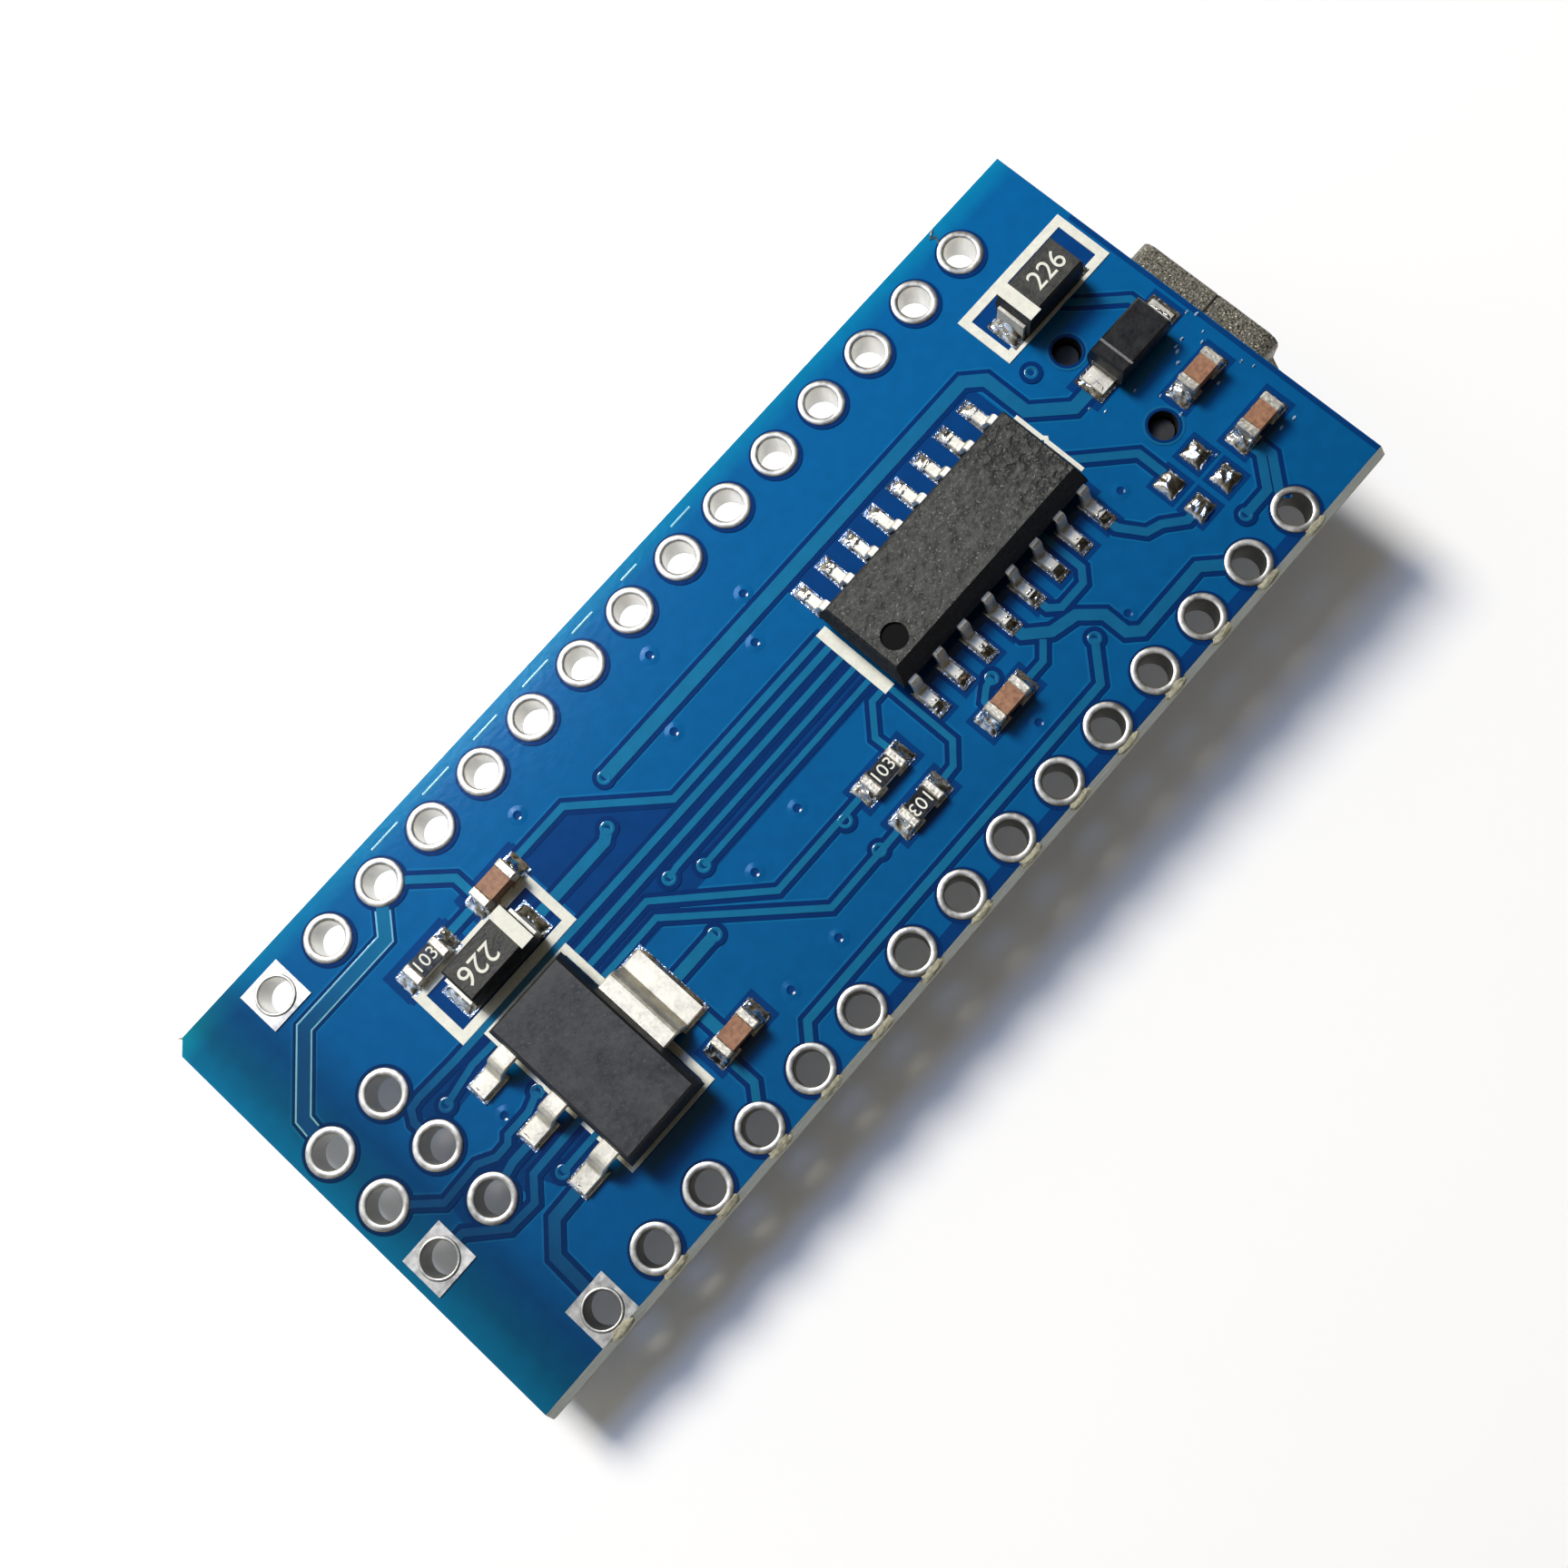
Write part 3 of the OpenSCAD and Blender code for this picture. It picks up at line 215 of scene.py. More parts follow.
def masked(name, colour, with_edges=False, tints=FAR_TEAL):
    """Gloss solder mask over one kind of ground; on the board itself, broken edges as well, with the scored slopes
    painted pale as a highlight and the peg-hole walls painted dark as shade.
    """
    material, add, place = start_material(name)
    apart = add("SeparateXYZ", [place])
    # The mask pools a little over the weave, in patches 0.6 mm across, and is made lighter towards +Y
    pool = add("TexNoise", {"Vector": place, "Scale": grain_scale(0.6), "Detail": 3})
    depth = add("MapRange", [pool, 0, 1, 0.85, 1.15])
    thin = add("MapRange", [apart.outputs["Y"], -8.5 * MM, 8.5 * MM, 0.84, 1.22])
    level = add("Math", [depth, thin], operation="MULTIPLY")
    tint = colour
    for axis, factors, start, full in tints:
        share = add("MapRange", [apart.outputs[axis], start * MM, full * MM])
        tint = add("Mix", {0: share, 6: tint, 7: factors + (1,)}, data_type="RGBA", blend_type="MULTIPLY")
    mask = add("VectorMath", {0: tint, "Scale": level}, operation="SCALE")
    height = add("TexNoise", {"Vector": place, "Scale": grain_scale(0.25), "Detail": 2})
    rise, gloss = 0.003 * MM, 0.12
    sockets = {"Base Color": mask, "Roughness": gloss, "Specular IOR Level": 0.35}
    if with_edges:
        # Broken glass fibre: streaks 0.08 mm thick that run along the edge
        stretch = add("Mapping", {"Vector": place, "Scale": (0.12, 1, 1)})
        fibre = add("TexNoise", {"Vector": stretch, "Scale": grain_scale(0.08), "Detail": 4})
        torn = add("Mix", {0: fibre, 6: "#858270", 7: "#c8c3aa"}, data_type="RGBA")
        solid = add("NewGeometry")
        facing = add("SeparateXYZ", [solid.outputs["True Normal"]])
        upright = add("Math", [facing.outputs["Z"]], operation="ABSOLUTE")
        # The slope of the scored line was cut clean and is painted paler than the break below it, near white, as the
        # highlight where it faces the light
        cut = add("MapRange", [upright, 0.15, 0.4])
        torn = add("Mix", {0: cut, 6: torn, 7: "#eef3e8"}, data_type="RGBA")
        # Drilled walls of the two peg holes, painted near black as the shade inside them
        flat = add("VectorMath", [place, (1, 1, 0)], operation="MULTIPLY")
        fold = add("VectorMath", [flat], operation="ABSOLUTE")
        away = add("VectorMath", [fold, (PEG_X * MM, PEG_Y * MM, 0)], operation="DISTANCE")
        peg_hole_shade = add("Math", [away, 0.6 * MM], operation="LESS_THAN")
        torn = add("Mix", {0: peg_hole_shade, 6: torn, 7: "#14181a"}, data_type="RGBA")
        face = add("Math", [upright, 0.95], operation="GREATER_THAN")
        sockets["Base Color"] = add("Mix", {0: face, 6: torn, 7: mask}, data_type="RGBA")
        sockets["Roughness"] = add("MapRange", [face, 0, 1, 0.9, gloss])
        height = add("Mix", {0: face, 2: fibre, 3: height})
        rise = add("MapRange", [face, 0, 1, 0.05 * MM, rise])
    sockets["Normal"] = add("Bump", {"Height": height, "Strength": 1, "Distance": rise})
    add("OutputMaterial", [add("BsdfPrincipled", sockets)])
    return material


# Finishes with a grain, and what each gives the eye: material, colours in the hollows and on the crests of the
# grain, its size in mm, the roughness there, the height of the relief in mm, and other settings of grained
GRAINED = {
    # Torn glass-epoxy: beige, fibrous, dull
    "torn": ("torn_glass_epoxy", "#7d7a66", "#bdb8a0", 0.1, (0.8, 0.95), 0.03, {"coarse": 0.3}),
    # Set rosin: clear, so it shows the blue below; its crests are painted near white as glints
    "rosin": ("set_rosin", "#1c5f94", "#c4def2", 0.06, (0.04, 0.12), 0.01, {}),
    # Laser mark on epoxy: ash grey, dull
    "laser": ("laser_marked_epoxy", "#5a5a5c", "#86868a", 0.06, (0.7, 0.85), 0.01, {}),
    # Floor of a moulded dimple: black, out of the light
    "dimple": ("moulded_dimple_epoxy", "#060607", "#101012", 0.15, (0.7, 0.85), 0.003, {"Specular IOR Level": 0.15}),
    # Hot-air levelled tin solder: bright, with soft lumps and dull patches; its steep faces, the bore walls, are
    # painted dull on the -Y row as shade and pale on the +Y row as lit
    "solder": (
        "hot_air_levelled_solder", "#a8a69f", "#e2e0da", 0.2, (0.38, 0.52), 0.006,
        {"coarse": 0.6, "sides": ("#84827c", "#f2f0ea"), "Metallic": 1},
    ),
    # Reflowed tin solder: near mirror, with dark hollows
    "reflowed": (
        "reflowed_tin_solder", "#94989c", "#fdfdfd", 0.14, (0.06, 0.2), 0.045,
        {"coarse": 0.34, "Metallic": 1},
    ),
    # Matt tin plate on wide leads: pale, warm, with a fine rub
    "tin": ("matt_tin_plate", "#c9c4b6", "#f1ede0", 0.09, (0.45, 0.6), 0.006, {"coarse": 0.5, "Metallic": 1}),
    # Fired silver terminals dipped in tin: cream, a little lumpy
    "terminal": ("tinned_silver_terminal", "#b9b2a2", "#fbf5e6", 0.1, (0.4, 0.55), 0.012, {"Metallic": 1}),
    # Bright tin plate on narrow leads: mirrors the dark room on top and the window on its bends
    "bright_tin": ("bright_tin_plate", "#c2c0ba", "#efede8", 0.1, (0.2, 0.34), 0.012, {"coarse": 0.4, "Metallic": 1}),
    # Moulded epoxy with glass filler: grey spark-eroded top with pale specks, pitted at one end, black sides
    "epoxy": (
        "spark_textured_moulded_epoxy", "#181919", "#545552", 0.17, (0.6, 0.8), 0.11,
        {"coarse": 0.42, "sides": ("#080809",), "flecks": ("#74746e", 0.08, 0.62), "pits": (0.36, 10.4, 12.4)},
    ),
    # Smoother moulded epoxy: charcoal with smudges
    "smooth_epoxy": (
        "satin_moulded_epoxy", "#070809", "#3a3b3e", 0.2, (0.42, 0.6), 0.014,
        {"coarse": 1.3, "sides": ("#090909",), "flecks": ("#484848", 0.1, 0.66)},
    ),
    # Dense moulded epoxy of small parts: black, a little shiny
    "black_epoxy": (
        "glossy_moulded_epoxy", "#050506", "#131314", 0.15, (0.35, 0.5), 0.015,
        {"coarse": 0.5, "sides": ("#070708",)},
    ),
    # Rough moulded epoxy: dark grey, mottled, dull
    "mottled_epoxy": (
        "mottled_moulded_epoxy", "#0f100f", "#474742", 0.14, (0.5, 0.7), 0.05,
        {"coarse": 0.4, "sides": ("#0b0b0b",)},
    ),
    # Fired barium titanate: warm brown, even, slightly mottled
    "ceramic": ("fired_brown_ceramic", "#82583f", "#a87c5d", 0.15, (0.45, 0.6), 0.006, {}),
    # Fired alumina: chalk white
    "alumina": ("fired_white_alumina", "#d9d6cd", "#f1eee6", 0.08, (0.6, 0.75), 0.006, {}),
    # Glaze over a resistor: black and shiny
    "glaze": ("black_glass_glaze", "#0c0d0f", "#222428", 0.2, (0.25, 0.4), 0.004, {}),
    # Nickel-plated sheet: dark grey metal, coarsely etched, with bright specks
    "nickel": (
        "etched_nickel_plate", "#403f39", "#8e8b80", 0.09, (0.25, 0.45), 0.08,
        {"flecks": ("#d6d2c6", 0.075, 0.6), "Metallic": 1},
    ),
    # Dark strip along the seam of the same sheet: painted shade in its slot
    "seam_shade": ("cut_steel_edge", "#0d0d0d", "#2a2927", 0.08, (0.5, 0.7), 0.01, {"Metallic": 0.6}),
    # Moulded nylon: black, dull
    "nylon": ("moulded_black_nylon", "#121314", "#26272a", 0.1, (0.5, 0.7), 0.01, {}),
    # Gold flash: pale yellow metal
    "gold": ("gold_flash", "#b8923f", "#e6c877", 0.15, (0.2, 0.35), 0.004, {"Metallic": 1}),
    # Dark fired ceramic tray
    "tray": ("dark_fired_ceramic", "#55503f", "#7f7968", 0.1, (0.55, 0.7), 0.008, {}),
    # Lapped quartz: clear, with a frosted face
    "quartz": (
        "lapped_quartz", "#d3dadd", "#eef3f4", 0.08, (0.2, 0.35), 0.003,
        {"Transmission Weight": 0.8, "IOR": 1.54},
    ),
    # Rolled stainless sheet: grey metal with a faint grain
    "steel": (
        "rolled_stainless_sheet", "#9b9a97", "#cfcdc8", 0.08, (0.22, 0.4), 0.006,
        {"coarse": 0.6, "Metallic": 1},
    ),
    # Moulded acetal: white, waxy
    "acetal": ("moulded_white_acetal", "#dcd9d1", "#f0eee8", 0.2, (0.35, 0.5), 0.006, {"Subsurface Weight": 0.1}),
    # Clear epoxy lens: yellowish, lets light in
    "lens": (
        "clear_cast_epoxy", "#e2d9a8", "#f3eecb", 0.3, (0.12, 0.2), 0.003,
        {"Transmission Weight": 0.6, "IOR": 1.53},
    ),
}


def make_finishes(colours):
    """Makes every finish: those with a grain, and those whose colours a user can change."""
    return {
        **{kind: grained(*row, **more) for kind, (*row, more) in GRAINED.items()},
        # Mask over the copper pour: clear mid blue, glossy; the torn edges show fibre, with the scored slopes painted
        # pale as a highlight and the peg-hole walls painted dark as shade
        "mask": masked("gloss_solder_mask_on_laminate", colours.pour, with_edges=True, tints=FACE_TINTS_AND_PAINTED_LIGHT),
        # The same mask where it dips round a via
        "pour": masked("gloss_solder_mask_on_copper_pour", colours.pour, tints=FACE_TINTS_AND_PAINTED_LIGHT),
        # Mask over traces: greener and lighter than the ground
        "trace": masked("gloss_solder_mask_on_copper", colours.trace, tints=TRACE_TINTS),
        # The same over the edges of the pour, painted a little paler as the glint along them
        "rim": masked("gloss_mask_on_pour_edge_painted_glint", colours.rim, tints=FACE_TINTS_AND_PAINTED_LIGHT),
        # Mask over the shoulders of a trace and the edge of the pour, painted pale as glints
        "shoulder": masked("pale_gloss_mask_painted_glints", "#6fb2cc"),
        # Mask over bare laminate: deep blue, since no copper shines through
        "bare": masked("gloss_solder_mask_on_bare_laminate", colours.bare),
        # The same in narrow strips, where it stands thick between two edges: darker still
        "gap": masked("gloss_solder_mask_in_clearance", colours.gap),
        # Screen-printed epoxy ink: cream, with ragged thin spots
        "ink": grained(
            "screen_printed_epoxy_ink", [c * 0.82 for c in colours.ink[:3]] + [1], colours.ink, grain=0.09,
            rough=(0.6, 0.8), bump=0.01, coarse=0.4,
        ),
    }


FINISH_OF_NODE = {
    "mask": ["board"],
    "solder": ["header_plated_holes", "isp_plated_holes", "solder_lands_under"],
    "reflowed": ["spare_solder_pads", "solder_lands_top"],
    "tin": [
        "regulator_leads", "regulator_tab", "serial_chip_leads", "tantalum_terminals", "diode_leads",
        "switch_terminals",
    ],
    "terminal": ["ceramic_capacitor_ends", "chip_resistor_ends", "array_ends", "under_capacitor_ends"],
    "bright_tin": ["controller_leads"],
    "epoxy": ["serial_chip_body"],
    "smooth_epoxy": ["regulator_body", "controller_body"],
    "black_epoxy": ["diode_body"],
    "mottled_epoxy": ["tantalum_bodies"],
    "ceramic": ["ceramic_capacitor_bodies", "under_capacitor_bodies"],
    "alumina": ["chip_resistor_bodies", "array_bodies", "led_bases"],
    "glaze": ["chip_resistor_coats", "array_coats"],
    "nickel": ["usb_shell"],
    "nylon": ["usb_insulator", "switch_housing"],
    "gold": ["usb_contact_strips", "led_ends"],
    "tray": ["crystal_bases"],
    "quartz": ["crystal_blanks"],
    "steel": ["crystal_lids", "switch_cover", "switch_dome"],
    "acetal": ["switch_plunger"],
    "lens": ["led_lenses"],
}


# Shapes


def add_piece(name, bm, slot, *kinds, smooth=False):
    """Makes one piece of a bmesh, gives it its finishes and lets it ride on the board."""
    bmesh.ops.remove_doubles(bm, verts=bm.verts, dist=1e-7)
    bmesh.ops.recalc_face_normals(bm, faces=bm.faces)
    for face in bm.faces:
        face.smooth = smooth
    mesh = bpy.data.meshes.new(name)
    bm.to_mesh(mesh)
    bm.free()
    for kind in kinds:
        mesh.materials.append(finishes[kind])
    piece = bpy.data.objects.new(name, mesh)
    bpy.context.scene.collection.objects.link(piece)
    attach(piece, BOARD)
    return piece


def rounded(points, radius, steps=4):
    """A path whose corners are turned into bends of about one radius."""
    points = [Vector(p) for p in points]
    path = points[:1]
    for before, corner, after in zip(points, points[1:], points[2:]):
        start, end = before - corner, after - corner
        reach = min(radius / math.tan(start.angle(end) / 2), start.length * 0.49, end.length * 0.49)
        a, b = corner + start.normalized() * reach, corner + end.normalized() * reach
        for step in range(steps + 1):
            t = step / steps
            path.append(a * (1 - t) ** 2 + corner * 2 * t * (1 - t) + b * t * t)
    return path + points[-1:]


def sweep(bm, section, points, place=Matrix(), closed=False):
    """Sweeps a section, given across and up, along a flat path in millimetres, with mitred corners."""
    path = [Vector(p) for p in points]
    ways = [(b - a).normalized() for a, b in zip(path, path[1:])]
    face = first = None
    for i, point in enumerate(path):
        before = ways[i - 1] if i or closed else ways[0]
        after = ways[i] if i < len(ways) else ways[0 if closed else -1]
        along = (before + after).normalized()
        stretch = 1 / max(along.dot(after), 0.5)
        corners = [
            place @ (Vector((point.x - along.y * a * stretch, point.y + along.x * a * stretch, h)) * MM)
            for a, h in section
        ]
        if face is None:
            face = first = bm.faces.new([bm.verts.new(c) for c in corners])
        else:
            made = bmesh.ops.extrude_face_region(bm, geom=[face])["geom"]
            face = next(g for g in made if isinstance(g, bmesh.types.BMFace))
            for vert, c in zip(face.verts, corners):
                vert.co = c
    if closed:
        bmesh.ops.delete(bm, geom=[first, face], context="FACES_ONLY")


def ribbon(bm, points, width, top, z=0.0, shoulder=0.35, closed=False):
    """A run of material along a path in millimetres, with mitred corners and round shoulders."""
    half, slope = width / 2, min(top, width / 2) * shoulder
    section = [
        (-half, -SUNK), (half, -SUNK), (half, top * 0.4), (half - slope * 0.4, top * 0.85), (half - slope, top),
        (slope - half, top), (slope * 0.4 - half, top * 0.85), (-half, top * 0.4),
    ]
    sweep(bm, section, points, Matrix.Translation((0, 0, z * MM)), closed)


def bent_strip(bm, place, turn, path, width, thick, up=1):
    """A strip of metal bent in a side view: path is its middle line, outward from the place and up.

    It points outward at a turn from the X axis, in degrees."""
    turn = math.radians(turn)
    half, deep, ease = width / 2, thick / 2, thick * 0.18
    section = [
        (ease - deep, -half), (deep - ease, -half), (deep, ease - half), (deep, half - ease),
        (deep - ease, half), (ease - deep, half), (-deep, half - ease), (-deep, ease - half),
    ]
    out, above = Vector((math.cos(turn), math.sin(turn), 0)), Vector((0, 0, up))
    axes = Matrix((out, above, out.cross(above))).transposed().to_4x4()
    sweep(bm, section, rounded(path, thick * 0.85), Matrix.Translation(Vector(place) * MM) @ axes)


def to_underside(bm):
    """Turns what was laid on the upper face over onto the face that lies down."""
    over = Matrix.Translation((0, 0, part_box("board")[0].z)) @ Matrix.Diagonal((1, 1, -1, 1))
    bmesh.ops.transform(bm, matrix=over, verts=bm.verts)


def rectangle(x0, x1, y0, y1):
    """The corners of a rectangle, in order."""
    return [(x0, y0), (x1, y0), (x1, y1), (x0, y1)]


def raise_faces(bm, faces, height):
    """Makes flat faces solid, up to a height in millimetres."""
    made = bmesh.ops.extrude_face_region(bm, geom=faces)["geom"]
    verts = [g for g in made if isinstance(g, bmesh.types.BMVert)]
    bmesh.ops.translate(bm, verts=verts, vec=(0, 0, height * MM))


def flat_area(bm, corners, top):
    """A flat patch with straight sides."""
    raise_faces(bm, [bm.faces.new([bm.verts.new((x * MM, y * MM, -SUNK * MM)) for x, y in corners])], SUNK + top)


def flat_frame(bm, x0, x1, y0, y1, line, top):
    """A rectangular outline of one line width."""
    half = line / 2
    corners = rectangle(x0 + half, x1 - half, y0 + half, y1 - half)
    ribbon(bm, corners + corners[:1], line, top, closed=True)


def flat_ring(bm, x, y, inner, outer, top, segments=40):
    """A flat ring between two radii."""
    disc = bmesh.ops.create_circle(
        bm, cap_ends=True, radius=outer * MM, segments=segments,
        matrix=Matrix.Translation((x * MM, y * MM, -SUNK * MM)),
    )
    middle = disc["verts"][0].link_faces[0]
    middle.normal_update()
    rim = bmesh.ops.inset_region(
        bm, faces=[middle], thickness=(outer - inner) * MM, use_boundary=True, use_even_offset=True
    )["faces"]
    bmesh.ops.delete(bm, geom=[middle], context="FACES_ONLY")
    raise_faces(bm, rim, SUNK + top)


def turned(bm, x, y, profile, segments=20):
    """A small turned form, given by its profile as radius and height in millimetres."""
    verts = [bm.verts.new(((x + r) * MM, y * MM, h * MM)) for r, h in profile]
    edges = [bm.edges.new(pair) for pair in zip(verts, verts[1:])]
    bmesh.ops.spin(
        bm, geom=verts + edges, cent=(x * MM, y * MM, 0), axis=(0, 0, 1), angle=2 * math.pi, steps=segments,
        use_merge=True,
    )


def drop(bm, place, radii, seed, lumps, square=1.0, detail=3):
    """A lump on the face, such as a torn edge or a bead of rosin: an uneven dome, flat below."""
    verts = bmesh.ops.create_icosphere(bm, subdivisions=detail, radius=1)["verts"]
    shift = Vector((seed * 3.1, seed * 1.7, seed * 0.6))
    for vert in verts:
        p = vert.co * (1 + lumps * (noise.noise(vert.co * 1.6 + shift) + 0.7 * noise.noise(vert.co * 4.3 + shift)))
        vert.co = [math.copysign(abs(c) ** square, c) for c in p]
        vert.co.z *= 1 if vert.co.z > 0 else 0.05
    size = Matrix.Diagonal([r * MM for r in radii]).to_4x4()
    bmesh.ops.transform(bm, matrix=Matrix.Translation(Vector(place) * MM) @ size, verts=verts)


def set_solder(bm, x, y, turn, length, width, high, low, seed, dome=False):
    """Set solder that runs down from a terminal along its land, uneven and with a ragged edge.

    It starts high at the place and runs outward, at a turn from the X axis in degrees; a dome stands alone."""
    grid = bmesh.ops.create_grid(bm, x_segments=10, y_segments=10, size=0.5)["verts"]
    faces = list({f for v in grid for f in v.link_faces})
    shift = Vector((seed * 3.1, seed * 1.7, seed * 0.6))
    made = bmesh.ops.extrude_face_region(bm, geom=faces)["geom"]
    tops = {g for g in made if isinstance(g, bmesh.types.BMVert)}
    spin = Matrix.Rotation(math.radians(turn), 3, "Z")
    for vert in list(grid) + list(tops):
        u, v = vert.co.x + 0.5, vert.co.y * 2
        place = Vector((u * length, v * width / 2, 0))
        rag = Vector((noise.noise(place * 7 + shift), noise.noise(place * 7 - shift), 0)) * 0.05
        if vert in tops:
            fall = (1 - (2 * u - 1) ** 4) * (1 - v ** 4) if dome else (1 - u ** 6) * (1 - v ** 6)
            body = high if dome else low + (high - low) * (1 - u) ** 2
            lump = 1 + 0.55 * noise.noise(place * 5 + shift) + 0.35 * noise.noise(place * 13 - shift)
            height = 0.01 + body * fall * lump
        else:
            height = -SUNK
        if dome:
            place.x -= length / 2
        vert.co = (spin @ (place + rag) + Vector((x, y, height))) * MM


# Places on the face, in millimetres

HOLE_RADIUS = 0.6
HEADER_X = [-17.78 + 2.54 * i for i in range(15)]
HEADER_HOLES = [(x, y) for x in HEADER_X for y in (-7.62, 7.62)]
ISP_HOLES = [(x, y) for x in (-20.19, -17.65) for y in (-2.54, 0, 2.54)]
SQUARE_LANDS = [(-17.78, 7.62), (-17.78, -7.62), (-20.19, -2.54)]
# Holes of the socket's locating pegs
PEG_X, PEG_Y = 17.3, 2.2
PEG_HOLES = [(PEG_X, -PEG_Y), (PEG_X, PEG_Y)]
CAPACITORS = [(19.45, -1.95), (19.45, -4.6), (6.0, -4.5), (-10.1, 4.45), (-8.4, -5.0)]
RESISTORS = [(1.4, -2.92), (1.4, -4.6), (-13.5, 4.45)]
TANTALUMS = [(18.2, 4.3), (-11.9, 2.75)]
DIODE = (18.75, 0.62)
SPARE_PADS = [(x, y) for x in (15.745, 17.195) for y in (-5.09, -3.75)]
# Leads of the serial chip along X, and of the regulator along Y
SERIAL_X = [8.85 + (i - 3.5) * 1.27 for i in range(8)]
REGULATOR_X, REGULATOR_Y = -12, (-4.45, -2.15, 0.15)
CONTROLLER_TURNS = (45, 135, 225, 315)
# Seam of the socket's folded sheet
SEAM_Y = -0.3

# Width and path of each masked trace
TRACES = [
    (0.45, [(-12.7, 7.62), (-13.95, 6.12), (-17.9, 6.12), (-20.05, 4.0), (-20.19, 2.54)]),
    (0.3, [(-12.7, 7.62), (-12.0, 6.95), (-10.87, 5.75), (-10.87, 4.8)]),
    (0.3, [(-12.6, 4.6), (-11.0, 4.6)]),
    (0.27, [(-9.3, 4.65), (-6.65, 4.65), (-3.95, 1.92), (3.6, 1.92)]),
    (0.42, [(-10.0, 2.72), (-6.6, 2.72), (-6.2, 2.97)]),
    (0.27, [(-17.65, 0), (-17.65, 1.1), (-17.4, 1.5), (-17.0, 1.56), (-15.35, 1.49), (3.6, 1.43)]),
    (0.24, [(-16.52, 0.7), (-16.1, 0.76), (-15.0, 0.95), (-13.4, 0.87), (3.6, 0.87)]),
    (0.24, [(-10.4, 0.25), (-7.15, 0.25), (-3.95, -2.87), (0.5, -2.87)]),
    (0.24, [(-10.4, -0.38), (-7.35, -0.38), (-3.2, -4.62), (0.5, -4.6)]),
    (0.22, [(-6.07, 0.2), (-5.6, 0.28), (3.6, 0.28)]),
    (0.22, [(-4.97, -0.4), (3.6, -0.4)]),
    (0.42, [(-9.0, -2.25), (-6.45, -2.25)]),
    (0.5, [(-4.97, 4.25), (14.0, 4.3), (14.6, 3.7), (14.6, 1.85), (15.8, 0.62), (17.0, 0.6)]),
    (0.32, [(13.6, 0.1), (14.3, -0.62), (15.92, -2.2), (15.92, -3.6)]),
    (0.32, [(13.3, -2.9), (13.3, -3.35), (13.85, -4.25), (14.4, -4.45), (15.1, -5.05), (15.75, -5.05)]),
    (0.3, [(-7.62, -7.62), (-6.55, -6.5), (8.6, -6.5), (9.72, -5.32)]),
    (0.42, [(8.22, -2.9), (8.22, -3.35), (8.95, -4.05), (9.95, -4.3), (10.6, -5.05), (10.6, -6.0),
            (10.98, -6.38), (14.0, -6.38), (15.24, -7.62)]),
    (0.28, [(9.5, -2.9), (9.5, -3.4), (9.85, -3.75), (11.0, -3.75), (11.4, -3.35), (11.4, -1.2)]),
    (0.26, [(6.8, -4.5), (7.95, -4.5), (8.55, -4.0)]),
    (0.24, [(2.2, -2.8), (2.15, -1.9), (3.05, -0.98), (3.7, -0.98)]),
    (0.24, [(2.2, -4.6), (3.15, -4.55), (3.82, -3.95), (3.82, -1.1)]),
    (0.24, [(6.35, -3.55), (6.0, -3.6), (5.55, -3.9), (5.5, -4.4)]),
    (0.3, [(18.6, 3.6), (19.2, 2.9), (20.3, 1.75), (20.3, 0.8)]),
    (0.34, [(18.65, -4.8), (18.65, -5.45), (17.75, -6.45), (16.55, -6.45)]),
    (0.34, [(18.9, -5.2), (18.9, -5.75), (17.78, -7.0)]),
    (0.42, [(-15.0, -4.45), (-16.75, -4.5), (-17.6, -5.35), (-17.68, -7.62)]),
    (0.3, [(-17.65, -2.54), (-16.4, -2.25), (-15.0, -2.25)]),
    (0.27, [(-20.19, -2.54), (-19.1, -2.55), (-17.95, -3.62), (-16.82, -3.68), (-16.19, -3.02), (-13.4, -2.96)]),
    (0.25, [(-20.19, 0), (-18.82, -1.45), (-17.24, -1.39), (-16.63, -1.73), (-16.06, -1.72), (-15.85, -1.52),
            (-14.87, -1.52), (-14.18, -1.28)]),
    (0.24, [(-15.51, -3.7), (-13.4, -3.7)]),
    (0.3, [(-9.2, -5.0), (-9.2, -6.5), (-10.16, -7.62)]),
    (0.42, [(-8.7, -3.4), (-8.7, -4.8)]),
]

# Vias that end a trace, and vias that only tie the pour to the other side
TRACE_VIAS = [
    (-6.2, 2.97), (-16.52, 0.7), (-0.68, -3.02), (-0.68, -4.55), (-6.07, 0.2), (-4.97, -0.4), (-6.45, -2.25),
    (-4.97, 4.25), (9.72, -5.32), (6.35, -3.55), (16.55, -6.45), (-15.51, -3.7), (15.85, 2.65), (-14.18, -1.28),
]
POUR_VIAS = [
    (-7.9, 5.62), (-0.75, 6.0), (3.05, 5.0), (-2.2, 3.5), (2.0, 3.5), (-4.0, -1.88), (-1.42, -1.5), (-6.15, -5.42),
    (-3.8, -5.47), (6.3, 4.22), (14.45, -2.6), (11.15, -5.62), (6.2, -5.78), (-15.48, -1.01),
]

